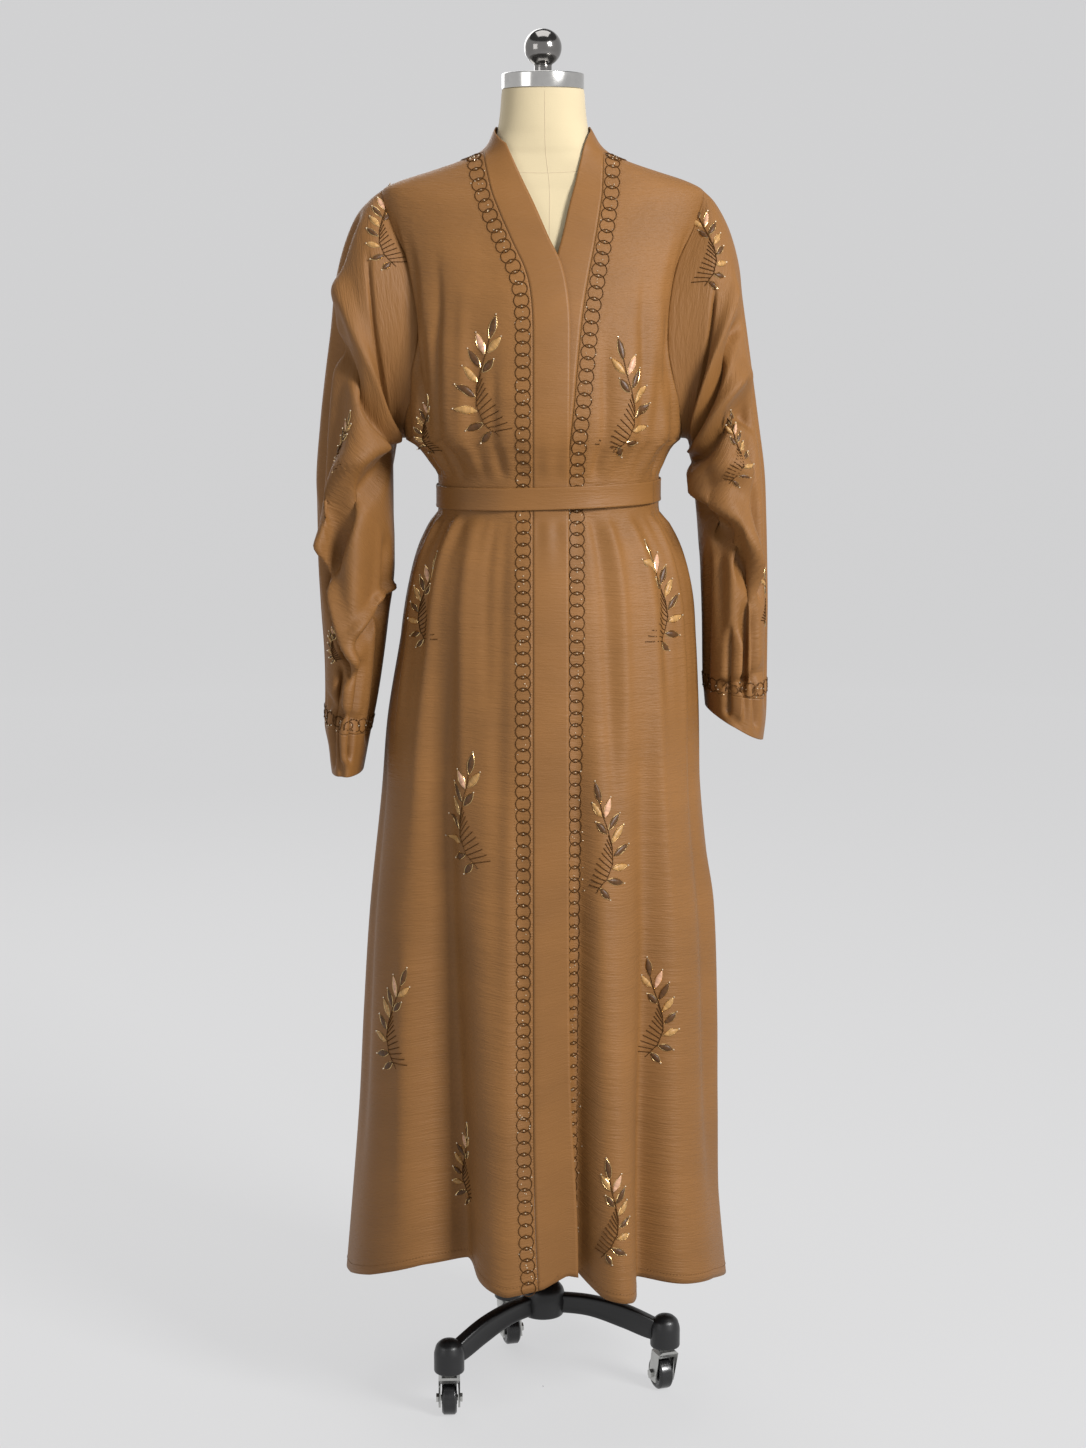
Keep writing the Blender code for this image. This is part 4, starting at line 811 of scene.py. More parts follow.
def hard_finish(name, colour, rough, metal, marks=0.03, scale=40.0, coat=0.0, stretch=(1, 1, 1)):
    """Metal, paint or moulded plastic with an uneven polish and faint bumps."""
    made, tree, shader = nodes_of(name)
    spots = noise(tree, coordinates(tree), scale, stretch, 4.0, 0.6)
    spread = tree.nodes.new("ShaderNodeMapRange")
    set_inputs(spread, {"To Min": max(0.02, rough - 0.06), "To Max": rough + 0.07})
    tree.links.new(spots, spread.inputs["Value"])
    tree.links.new(spread.outputs["Result"], shader.inputs["Roughness"])
    tint(tree, shader, spots, colour, 0.86)
    bump(tree, shader, ((spots, marks, 0.0006),))
    set_inputs(shader, {"Metallic": metal, "Coat Weight": coat})
    return made


def bead_finish(name, colour, rough, metal, coat=0.0):
    """Glass, metal or satin thread of the beadwork, uneven from bead to bead."""
    made, tree, shader = nodes_of(name)
    tint(tree, shader, noise(tree, coordinates(tree), 380.0, (1, 1, 1), 1.0), colour, 0.62)
    set_inputs(shader, {"Roughness": rough, "Metallic": metal, "Coat Weight": coat,
                        "Specular IOR Level": 0.07 if rough > 0.4 else 0.5})
    return made


def satin_thread(name, colour):
    """Satin stitch: fine ridges that run across each leaf."""
    made, tree, shader = nodes_of(name)
    ridges = noise(tree, coordinates(tree, cloth=True), 1.0, (260, 4, 1), 1.0, 0.4)
    tint(tree, shader, ridges, colour, 0.60)
    bump(tree, shader, ((ridges, 0.6, 0.0005),))
    set_inputs(shader, {"Roughness": 0.40, "Specular IOR Level": 0.25})
    return made


def plain_floor(name, colour):
    made, tree, shader = nodes_of(name)
    tint(tree, shader, noise(tree, coordinates(tree), 1.2), colour, 0.985)
    set_inputs(shader, {"Roughness": 0.9, "Emission Color": (1.0, 1.0, 1.01, 1),
                        "Emission Strength": 0.575})
    return made


# Finishes: maker, material's name, colour or the setting that holds it, the maker's values.
FINISHES = {
    "crepe": (crepe_cloth, "satin_crepe", "cloth_colour", 1.0, 0.58),
    "band": (crepe_cloth, "smooth_satin", "band_colour", 0.55, 0.52),
    "form": (plain_cloth, "form_linen", "form_colour", 900.0),
    "seam": (plain_cloth, "form_seam_thread", (0.46, 0.37, 0.24), 1400.0),
    "steel": (hard_finish, "polished_cap_steel", (0.60, 0.59, 0.57), 0.17, 1.0),
    "dark_steel": (hard_finish, "dark_ball_steel", (0.26, 0.25, 0.24), 0.13, 1.0),
    "tube": (hard_finish, "drawn_tube_steel", (0.5, 0.5, 0.5), 0.30, 1.0, 0.05, 30.0, 0.0,
             (1, 1, 12)),
    "paint": (hard_finish, "satin_black_paint", (0.006, 0.006, 0.0065), 0.38, 0.0, 0.10, 220.0,
              0.04),
    "zinc": (hard_finish, "zinc_plate", (0.52, 0.52, 0.50), 0.30, 1.0, 0.06, 90.0),
    "wheel": (hard_finish, "moulded_black_nylon", (0.009, 0.009, 0.0095), 0.26, 0.0, 0.06,
              260.0, 0.10),
    "gold": (satin_thread, "gold_satin_stitch", (0.40, 0.22, 0.075)),
    "shell": (satin_thread, "rose_satin_stitch", (0.56, 0.32, 0.20)),
    "brown": (satin_thread, "brown_satin_stitch", (0.085, 0.036, 0.010)),
    "thread": (bead_finish, "dark_brown_beads", (0.078, 0.032, 0.008), 0.60, 0.0),
    "seam_brown": (bead_finish, "brown_sewing_thread", (0.150, 0.068, 0.022), 0.6, 0.0),
    "metal": (bead_finish, "gold_bugle_beads", (0.80, 0.56, 0.26), 0.26, 1.0),
    "crystal": (bead_finish, "clear_crystals", (0.95, 0.78, 0.55), 0.10, 0.55, 0.6),
    "floor": (plain_floor, "pale_floor", "floor_colour"),
}
MADE, CLOTH, CUFF_LINES = {}, {}, {}


def finish_named(name):
    """Each finish is made once, from the colours in the panel."""
    if name not in MADE:
        maker, label, colour, *values = FINISHES[name]
        if isinstance(colour, str):
            colour = tuple(getattr(settings(), colour))
        MADE[name] = maker(label, colour, *values)
    return MADE[name]


def keep_surface(key, points, normals):
    """Remembers a cloth grid so that the beadwork can be laid on it."""
    CLOTH.setdefault(key, []).append((points.reshape(-1, 3), normals.reshape(-1, 3)))


def kept_cloth(key):
    return [np.concatenate(part) for part in zip(*CLOTH[key])]


def settle(key, spots, chunk=400):
    """Nearest grid point for each spot, and the spot's foot on the tangent plane there."""
    cloud, facing = kept_cloth(key)
    feet, normals = np.empty_like(spots), np.empty_like(spots)
    size = (cloud ** 2).sum(1)
    for start in range(0, len(spots), chunk):
        part = spots[start:start + chunk]
        near = np.argmin(size[None, :] - 2.0 * part @ cloud.T, axis=1)
        away, n = part - cloud[near], facing[near]
        feet[start:start + chunk] = part - n * np.sum(away * n, axis=1, keepdims=True)
        normals[start:start + chunk] = n
    return feet, normals


def settle_each(keys, spots):
    """Lays the spots of each entry on the cloth that the entry's key names."""
    keys = np.array(keys)
    feet, normals = np.empty_like(spots), np.empty_like(spots)
    for key in sorted(set(keys)):
        mine = keys == key
        foot, normal = settle(key, spots[mine].reshape(-1, 3))
        feet[mine] = foot.reshape(feet[mine].shape)
        normals[mine] = normal.reshape(feet[mine].shape)
    return feet, normals


def turned_grid(profile, steps):
    """Profile of radius and height carried round the Z axis."""
    profile = np.asarray(profile, float)
    turn = np.linspace(0.0, 2 * math.pi, steps, endpoint=False)
    x, y = profile[:, :1] * np.cos(turn), profile[:, :1] * np.sin(turn)
    return np.stack((x, y, np.repeat(profile[:, 1:2], steps, axis=1)), -1)


def rounded_profile(profile, radius, steps=4):
    """Corners of a profile replaced by short arcs, as curves through the cut corners."""
    profile = np.asarray(profile, float)
    out = [profile[0]]
    for before, corner, after in zip(profile[:-2], profile[1:-1], profile[2:]):
        a, b = before - corner, after - corner
        cut = min(radius, np.linalg.norm(a) * 0.45, np.linalg.norm(b) * 0.45)
        start, end = corner + unit(a) * cut, corner + unit(b) * cut
        t = np.linspace(0.0, 1.0, steps)[:, None]
        out.extend((1 - t) ** 2 * start + 2 * t * (1 - t) * corner + t ** 2 * end)
    out.append(profile[-1])
    return np.array(out)


def grid_solid(name, points, finish, place=None):
    """Closed solid from rings: quads between rings and a fan of faces at each end."""
    flat = points.reshape(-1, 3)
    if place is not None:
        flat = flat @ place[:, :3].T + place[:, 3]
    obj = mesh_from_arrays(name, flat, quads(grid_index(*points.shape[:2], closed=True)), finish)
    work = bmesh.new()
    work.from_mesh(obj.data)
    bmesh.ops.remove_doubles(work, verts=work.verts, dist=0.00001)
    open_edges = [e for e in work.edges if e.is_boundary]
    if open_edges:
        bmesh.ops.holes_fill(work, edges=open_edges, sides=0)
    bmesh.ops.recalc_face_normals(work, faces=work.faces)
    for face in work.faces:
        face.smooth = True
    work.to_mesh(obj.data)
    work.free()
    obj.data.set_sharp_from_angle(angle=math.radians(38.0))
    return obj


def turned_piece(name, profile, steps, centre, finish, slot, node=None):
    """Profile turned round an upright axis through the centre and fixed to the stand."""
    put(grid_solid(name, turned_grid(profile, steps) + (*centre, 0.0), finish), slot, node)


def tube_along(name, path, radius, finish, sides=6):
    """Circle carried along a path, square to the path's own direction."""
    tangent = unit(np.gradient(path, axis=0))
    up = np.where(np.abs(tangent[:, 2:]) > 0.9, (1.0, 0.0, 0.0), (0.0, 0.0, 1.0))
    side = unit(np.cross(tangent, up))
    other = np.cross(side, tangent)
    turn = np.linspace(0.0, 2 * math.pi, sides, endpoint=False)[None, :, None]
    ring = side[:, None] * np.cos(turn) + other[:, None] * np.sin(turn)
    return grid_solid(name, path[:, None] + ring * radius, finish)


def bead_shape(template):
    """Points and three-sided faces of a small bead, a bugle rod or a cut stone."""
    if template == "bugle":
        ring = np.radians(np.arange(4) * 90.0)
        base = [(x, math.cos(t), math.sin(t)) for x in (-1, 1) for t in ring]
        sides = [(i, (i + 1) % 4, 4 + (i + 1) % 4, 4 + i) for i in range(4)]
        faces = ([(a, c, b) for a, b, c, d in sides] + [(a, d, c) for a, b, c, d in sides]
                 + [(0, 1, 2), (0, 2, 3), (4, 6, 5), (4, 7, 6)])
    elif template == "stone":
        ring = np.radians(np.arange(8) * 45.0)
        base = [(math.cos(t), math.sin(t), 0.0) for t in ring]
        base += [(0.55 * math.cos(t), 0.55 * math.sin(t), 0.8) for t in ring]
        base += [(0, 0, -0.5), (0, 0, 0.8)]
        faces = []
        for i, j in zip(range(8), (1, 2, 3, 4, 5, 6, 7, 0)):
            faces += [(i, j, 8 + j), (i, 8 + j, 8 + i), (j, i, 16), (8 + i, 8 + j, 17)]
    else:
        base = ((1, 0, 0), (0, 1, 0), (-1, 0, 0), (0, -1, 0), (0, 0, 1), (0, 0, -1))
        faces = ((0, 1, 4), (1, 2, 4), (2, 3, 4), (3, 0, 4), (1, 0, 5), (2, 1, 5), (3, 2, 5),
                 (0, 3, 5))
    return np.array(base, float), np.array(faces)


def lay_beads(name, feet, normals, along, sizes, finish, template="bead"):
    """Small closed shapes in one mesh, each stretched along its own three directions."""
    base, faces = bead_shape(template)
    centres = feet + normals * (settings().wall / 2 + sizes[:, 2:] * 0.6)
    along = unit(along - normals * np.sum(along * normals, axis=1, keepdims=True))
    frames = np.stack((along, np.cross(normals, along), normals), axis=1) * sizes[:, :, None]
    points = centres[:, None, :] + np.einsum("vk,nkc->nvc", base, frames)
    every = faces[None] + (np.arange(len(centres)) * len(base))[:, None, None]
    put(mesh_from_arrays(name, points.reshape(-1, 3), every.reshape(-1, 3), finish,
                         smooth=template == "bead"))


def colour_setting(name, text, default):
    return FloatVectorProperty(name=name, description=text, subtype="COLOR", default=default,
                               min=0, max=1)


class AbayaSettings(bpy.types.PropertyGroup):
    """Sizes and colours that can be changed before the pieces are built."""
    cloth_colour: colour_setting("Cloth", "Colour of the satin crepe", (0.182, 0.080, 0.0205))
    band_colour: colour_setting("Band", "Colour of front band and belt", (0.178, 0.0775, 0.0195))
    form_colour: colour_setting("Form", "Colour of the form's linen", (0.465, 0.385, 0.240))
    floor_colour: colour_setting("Floor", "Colour of floor and backdrop", (0.08, 0.08, 0.08))
    crinkle: FloatProperty(name="Crinkle", description="Strength of the crepe's crinkles",
                           default=1.0, min=0.0, max=3.0)
    wall: FloatProperty(name="Cloth wall", description="Thickness of the cloth", default=0.0011,
                        min=0.0006, max=0.0015, unit="LENGTH")
    bead: FloatProperty(name="Bead", description="Radius of the smallest beads", default=0.00078,
                        min=0.0005, max=0.002, unit="LENGTH")


class ABAYA_OT_stage(bpy.types.Operator):
    """Camera at the photograph's angle, a pale floor and backdrop, and soft lights"""
    bl_idname = "abaya.stage"
    bl_label = "Stage"

    def execute(self, context):
        data = bpy.data.cameras.new("photo_camera")
        data.sensor_width, data.clip_end = 36.0, 60.0
        data.lens = FOCAL_PIXELS / PHOTO_HEIGHT * data.sensor_width
        camera = bpy.data.objects.new("photo_camera", data)
        camera.location = CAMERA_PLACE
        camera.rotation_euler = (math.radians(90.0 - CAMERA_DOWN), 0.0, 0.0)
        context.scene.collection.objects.link(camera)
        context.scene.camera = camera
        self.floor()
        for light in LIGHTS:
            self.light(context, *light)
        world = bpy.data.worlds.new("studio")
        world.use_nodes = True
        set_inputs(world.node_tree.nodes["Background"],
                   {"Color": (0.97, 0.98, 1, 1), "Strength": 0.12})
        context.scene.world = world
        context.scene.view_settings.view_transform = "Standard"
        return {"FINISHED"}

    def floor(self):
        """Flat disc that bends up into a round backdrop."""
        bend, steps = np.linspace(0.0, math.pi / 2, 16), 96
        curve = np.column_stack((6.5 + 2.0 * np.sin(bend), 2.0 - 2.0 * np.cos(bend)))
        line = np.vstack((((0.001, 0.0), (2.0, 0.0)), curve, ((8.5, 7.0),)))
        faces = quads(grid_index(len(line), steps, closed=True))[:, ::-1]
        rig.stage(mesh_from_arrays("floor", turned_grid(line, steps).reshape(-1, 3), faces,
                                  "floor"))

    def light(self, context, name, place, aim, size, power):
        data = bpy.data.lights.new(name, "AREA")
        data.size, data.energy = size, power
        obj = bpy.data.objects.new(name, data)
        obj.location = place
        x, y, z = place
        obj.rotation_euler = (math.atan2(math.hypot(x, y), z - aim), 0.0,
                              math.atan2(y, x) + math.pi / 2)
        context.scene.collection.objects.link(obj)


class ABAYA_OT_form(bpy.types.Operator):
    """Limbless form with its seams, polished cap and ball"""
    bl_idname = "abaya.form"
    bl_label = "Dress form"

    def execute(self, context):
        rows = np.interp(np.linspace(0, 1, 116), np.linspace(0, 1, len(FORM_RINGS)),
                         FORM_RINGS[:, 0])
        angle, height = np.meshgrid(np.linspace(0.0, 360.0, 96, endpoint=False), rows)
        put(grid_solid("form_body", self.cover(angle, height), "form"), "form_cloth",
            "form_torso")
        self.seams()
        cap = rounded_profile([(0.0, 1.6957), (0.0505, 1.6957), (0.0505, 1.6763), (0.0, 1.6763)],
                              0.0016, 5)
        turned_piece("neck_cap_disc", cap, 96, (0, BACK_SHIFT), "steel", "polished_steel",
                     "neck_cap")
        arc = np.radians(np.linspace(0.0, 150.0, 40))
        ball = np.column_stack((0.023 * np.sin(arc), 1.727 + 0.023 * np.cos(arc)))
        ball = np.vstack((ball, ((0.0108, 1.7055), (0.0108, 1.6985), (0.0128, 1.6972),
                                 (0.0128, 1.6960), (0.0, 1.6960))))
        turned_piece("cap_ball", ball, 64, (0, BACK_SHIFT), "dark_steel", "dark_polished_steel",
                     "cap_knob")
        return {"FINISHED"}

    def cover(self, angle, height):
        x, y = ring_point(FORM_RINGS, angle, height)
        return np.stack((x, y + BACK_SHIFT, height), -1)

    def seams(self):
        """Sewn seams: a round thread half sunk in the cover along lines on the form."""
        lines = [(np.full(count, angle), np.linspace(0.87, top, count))
                 for top, count, angles in ((1.672, 260, (2.5, 180.0, 91.0, -91.0)),
                                            (1.575, 240, (-36.0, 40.0, 144.0, -144.0)))
                 for angle in angles]
        turn = np.linspace(-180.0, 180.0, 240)
        lines.append((turn, 1.590 - 0.016 * np.cos(np.radians(turn)) ** 3))
        for number, (angle, height) in enumerate(lines):
            path = self.cover(angle, height)
            out = unit((path - (0.0, BACK_SHIFT, 0.0)) * (1.0, 1.0, 0.0))
            put(tube_along(f"form_seam_{number + 1}", path - out * 0.0001, 0.00045, "seam"),
                "form_cloth")


class ABAYA_OT_panels(bpy.types.Operator):
    """Back and two fronts, thin shells with soft creases and gathers at the belt"""
    bl_idname = "abaya.panels"
    bl_label = "Panels"

    def execute(self, context):
        height = fine_rows(216)
        start = 180.0 - side_angle(height)
        start = start + gap_angle(start, height)
        back = panel_grid(start, 360.0 - start, body_point, height, 136)
        panels = [("back", "back_panel", back, 1.10, ("right", "left"))]
        panels += [(f"front_{side.key}", f"front_panel_{side.key}",
                    front_panel_grid(side, height, 90), width, (side.key,))
                   for side, width in zip(SIDES, (0.62, 0.58))]
        for key, node, points, width, trims in panels:
            normals = body_normals(points)
            for kept in (key, *(f"trim_{trim}" for trim in trims)):
                keep_surface(kept, points, normals)
            cloth_piece(f"cloth_{key}", points, normals, "crepe", "abaya_cloth", node,
                        lambda area: (width, 1.50), "gathered")
        return {"FINISHED"}


class ABAYA_OT_bands(bpy.types.Operator):
    """Smooth band up both front edges and round the neck, and the narrow belt"""
    bl_idname = "abaya.bands"
    bl_label = "Bands and belt"

    def execute(self, context):
        for side in SIDES:
            points = band_grid(side, 260, 14)
            cloth_piece(f"cloth_band_{side.key}", points, body_normals(points), "band",
                        "band_cloth", f"neck_band_{side.key}",
                        lambda area: (round(area / 1.52 * 1.02, 3), 1.60), "hung")
        self.belt()
        return {"FINISHED"}

    def belt(self):
        """Spiral strip: the waist ring moved out, climbing over its own start."""
        turn = np.linspace(30.0, 422.0, 400)
        across = np.array((-0.5, -0.47, -0.43, -0.36, 0.0, 0.36, 0.43, 0.47, 0.5))
        raised = np.array((0.0, 0.5, 0.55, 0.0, 0.0, 0.0, 0.55, 0.5, 0.0)) * 0.0007
        lap = smoothstep((turn - 355.0) / 32.0)
        tuck = smoothstep((75.0 - turn) / 25.0)
        level = BELT_HEIGHT + 0.004 * np.sin(np.radians(turn)) - 0.0016 * tuck
        height = level[:, None] + across * BELT_WIDTH
        angle = turn[:, None] + 0 * height
        x, _ = ring_point(RINGS, angle, height)
        over = smoothstep((x + 0.088) / 0.045) * smoothstep((0.092 - x) / 0.045)
        front = np.cos(np.radians(angle)) > 0.0
        lift = 0.00245 + WRAP * over * front + lap[:, None] * 0.0026 + raised
        points = body_point(angle, height, lift, creased=False).transpose(1, 0, 2)
        cloth_piece("cloth_belt", points, body_normals(points), "band", "belt_cloth", "belt",
                    strip_cut(0.0275, 1.01), "folded", wall=0.0014)


class ABAYA_OT_sleeves(bpy.types.Operator):
    """Long wide sleeves with hanging folds, and the plain band below each cuff seam"""
    bl_idname = "abaya.sleeves"
    bl_label = "Sleeves"

    def execute(self, context):
        rows, columns = 226, 108
        cut = int(round((rows - 1) * 13.0 / 15.0)) + 1
        for side in SIDES:
            sleeve = f"sleeve_{side.key}"
            points, normals = arm_grid(side, rows, columns)
            CUFF_LINES[side.key] = points[cut - 6].copy()
            upper, lower = points[:cut].copy(), points[cut - 1:].copy()
            lower[0] += (lower[1] - lower[0]) * 0.06
            keep_surface(sleeve, points, normals)
            cloth_piece(f"cloth_{sleeve}", upper, normals[:cut], "crepe", "abaya_cloth", sleeve,
                        strip_cut(0.62, 1.04), "hung", closed=True)
            cloth_piece(f"cloth_cuff_{side.key}", lower, normals[cut - 1:], "band", "band_cloth",
                        f"cuff_band_{side.key}", strip_cut(0.40, 1.04), "hung",
                        f"cloth_{sleeve}", closed=True)
        return {"FINISHED"}


class ABAYA_OT_stand(bpy.types.Operator):
    """Pole, hub with three arched legs, and the casters under their ends"""
    bl_idname = "abaya.stand"
    bl_label = "Stand"

    def execute(self, context):
        post = [(0.0, 0.8547), (0.030, 0.8547), (0.030, 0.8500), (0.0125, 0.8490),
                (0.0125, 0.1423), (0.0, 0.1423)]
        turned_piece("pole_tube", rounded_profile(post, 0.0008, 4), 72, (0, HUB_Y), "tube",
                     "pole_steel", "pole")
        hub = [(0.0, 0.142), (0.020, 0.142), (0.027, 0.134), (0.030, 0.120), (0.027, 0.098),
               (0.0, 0.098)]
        turned_piece("base_hub", rounded_profile(hub, 0.004, 6), 72, (0, HUB_Y), "paint",
                     "black_satin_paint", "base")
        dome = [(0.0, 0.106), (0.0100, 0.1042), (0.0166, 0.0982), (0.0195, 0.088),
                (0.0195, 0.064), (0.0182, 0.062), (0.0, 0.062)]
        for index, turn in enumerate(np.radians(LEG_ANGLES)):
            end = (LEG_REACH * math.cos(turn), HUB_Y + LEG_REACH * math.sin(turn))
            self.leg(index, turn)
            turned_piece(f"base_boss_{index + 1}", rounded_profile(dome, 0.003, 5), 56, end,
                         "paint", "black_satin_paint")
            self.wheel(index, end)
        return {"FINISHED"}

    def leg(self, index, turn):
        """Arched bar: a rounded section with a raised rib round a groove in each side."""
        outline = np.array(((0.010, 0.1279, 0.1030), (0.060, 0.126, 0.100),
                            (0.105, 0.117, 0.086), (0.140, 0.103, 0.073),
                            (LEG_REACH, 0.092, 0.069)))
        along = np.linspace(0.010, LEG_REACH, 48)
        top, low = spline(outline, along).T
        t = np.linspace(0.0, 2 * math.pi, 40, endpoint=False)
        c, s = np.cos(t), np.sin(t)
        wide, tall = np.sign(c) * np.abs(c) ** 0.30, np.sign(s) * np.abs(s) ** 0.45
        groove = 1.0 - 0.13 * smoothstep((0.62 - np.abs(tall)) / 0.12)
        y = (0.009 * wide * groove)[None, :] + 0 * along[:, None]
        z = (top + low)[:, None] / 2 + (top - low)[:, None] / 2 * tall
        out, back = self.level_axes(turn)
        place = np.column_stack((out, back, (0.0, 0.0, 1.0), (0.0, HUB_Y, 0.0)))
        put(grid_solid(f"base_leg_{index + 1}", np.stack((along[:, None] + 0 * y, y, z), -1),
                       "paint", place), "black_satin_paint")

    def level_axes(self, turn):
        """Level direction at a turn about Z, and the one a quarter turn on."""
        return np.array(((math.cos(turn), math.sin(turn), 0.0),
                         (-math.sin(turn), math.cos(turn), 0.0)))

    def wheel(self, index, end):
        """Rounded tread, a recessed face with a raised rim and a hub ring; the wheel's own
        axis lies along the axle, under the swivel and behind it by the trail."""
        half, r, bore = 0.010, WHEEL_RADIUS, 0.0043
        side = [(bore, half), (0.0085, half), (0.0092, half - 0.0012), (0.0150, half - 0.0012),
                (0.0160, half - 0.0004), (r - 0.003, half - 0.0004), (r, half - 0.0030)]
        profile = side + [(x, -z) for x, z in reversed(side)] + side[:1]
        out, back = self.level_axes(math.radians(CASTER_TURNS[index]))
        centre = np.array((*end, WHEEL_RADIUS)) + back * TRAIL
        put(grid_solid(f"wheel_tread_{index + 1}",
                       turned_grid(rounded_profile(profile, 0.0007, 4), 64), "wheel",
                       np.column_stack((back, (0.0, 0.0, 1.0), out, centre))),
            "black_wheel_plastic", f"caster_wheel_{index + 1}", f"roller_{index + 1}")
        for slot in frame["nodes"][f"caster_fork_{index + 1}"].material_slots:
            slot.material = finish_named("zinc")


def even_steps(path, step):
    """Points at equal distances along a path, with the path's direction at each."""
    length = np.concatenate(((0.0,), np.cumsum(np.linalg.norm(np.diff(path, axis=0), axis=1))))
    at = np.linspace(0.0, length[-1], max(2, int(round(length[-1] / step)) + 1))
    spots, ahead, behind = [
        np.stack([np.interp(at + reach, length, path[:, k]) for k in range(3)], 1)
        for reach in (0.0, 0.004, -0.004)]
    return spots, unit(ahead - behind)


def ring_spots(centres, ways, normals, radius, count):
    """Points round each centre in its own tangent plane, with their directions."""
    t = np.linspace(0.0, 2 * math.pi, count, endpoint=False)
    sides = np.cross(normals, ways)
    c, s = np.cos(t)[None, :, None], np.sin(t)[None, :, None]
    out = ways[:, None] * c + sides[:, None] * s
    around = sides[:, None] * c - ways[:, None] * s
    return (centres[:, None] + out * radius).reshape(-1, 3), around.reshape(-1, 3)


class ABAYA_OT_trims(bpy.types.Operator):
    """Chains of overlapping beaded rings beside the front band, round the neck and cuffs"""
    bl_idname = "abaya.trims"
    bl_label = "Beaded chains"

    def execute(self, context):
        for side in SIDES:
            height = np.linspace(HEM_ROW + 0.004, NECK, 700)
            angle = angle_at(spline(side.band, height)[:, 0], height)
            turn = np.linspace(abs(angle[-1]), 180.0, 160)[1:]
            path = np.vstack((side.surface(angle, hem_shift(angle, height)),
                              side.surface(side.sign * turn, NECK + 0 * turn)))
            _, normals = settle(f"trim_{side.key}", path)
            away = unit(np.cross(normals, np.gradient(path, axis=0)))
            if side.sign * np.mean(away[:600, 0]) < 0.0:
                away = -away
            self.chain(f"trim_chain_{side.key}", path + away * CHAIN_AWAY, f"trim_{side.key}",
                       *FRONT_CHAIN)
        for key, loop in CUFF_LINES.items():
            self.chain(f"cuff_chain_{key}", np.vstack((loop, loop[:1])), f"sleeve_{key}",
                       *CUFF_CHAIN)
        self.hems()
        return {"FINISHED"}

    def hems(self):
        """Row of small stitches that holds the turned-up hem, 11.5 mm above the edge."""
        for key, low, high, surface in (("front_right", -89.5, 0.0, right_surface),
                                        ("front_left", 2.0, 89.5, body_point),
                                        ("back", 90.5, 269.5, body_point)):
            angle = np.linspace(low, high, 600)
            path = surface(angle, hem_shift(angle, HEM_ROW + 0.0115 + 0 * angle))
            spots, ways = even_steps(path, 0.0042)
            self.beads(f"hem_stitches_{key}", spots, ways, (0.0013, 0.0004, 0.00035), key,
                       "seam_brown")

    def chain(self, name, path, key, pitch, radius):
        """Rings of beads, a small ring and a stone between each two, and fine beads outside."""
        bead = settings().bead
        centres, ways = even_steps(path, pitch)
        centres, normals = settle(key, centres)
        spots, around = ring_spots(centres, ways, normals, radius, 40)
        middles = (centres[1:] + centres[:-1]) / 2
        small, small_way = ring_spots(middles, ways[1:], normals[1:], 0.0024, 9)
        dots, dot_ways = even_steps(path, 0.0036)
        edge = np.cross(settle(key, dots)[1], dot_ways) * (radius + 0.0016)
        every = np.vstack((spots, small, dots + edge, dots - edge))
        sizes = np.vstack((np.tile((bead * 1.15, bead, bead), (len(spots), 1)),
                           np.tile((bead * 0.8, bead * 0.7, bead * 0.7), (len(small), 1)),
                           np.tile((bead * 0.42,) * 3, (2 * len(dots), 1))))
        self.beads(name, every, np.vstack((around, small_way, dot_ways, dot_ways)), sizes, key,
                   "thread")
        rng = np.random.default_rng(11)
        loose = dots[rng.integers(0, len(dots), len(dots) // 3)]
        loose = loose + rng.uniform(-0.0105, 0.0105, loose.shape)
        stones = np.vstack((middles, loose))
        size = np.concatenate((np.full(len(middles), 0.00085),
                               rng.uniform(0.0005, 0.0010, len(loose))))
        self.beads(f"{name}_stones", stones, np.tile((0.0, 0.0, 1.0), (len(stones), 1)),
                   size[:, None], key, "crystal", "stone")

    def beads(self, name, spots, ways, sizes, key, finish, template="bead"):
        feet, normals = settle(key, spots)
        lay_beads(name, feet, normals, ways, np.broadcast_to(sizes, (len(spots), 3)), finish,
                  template)


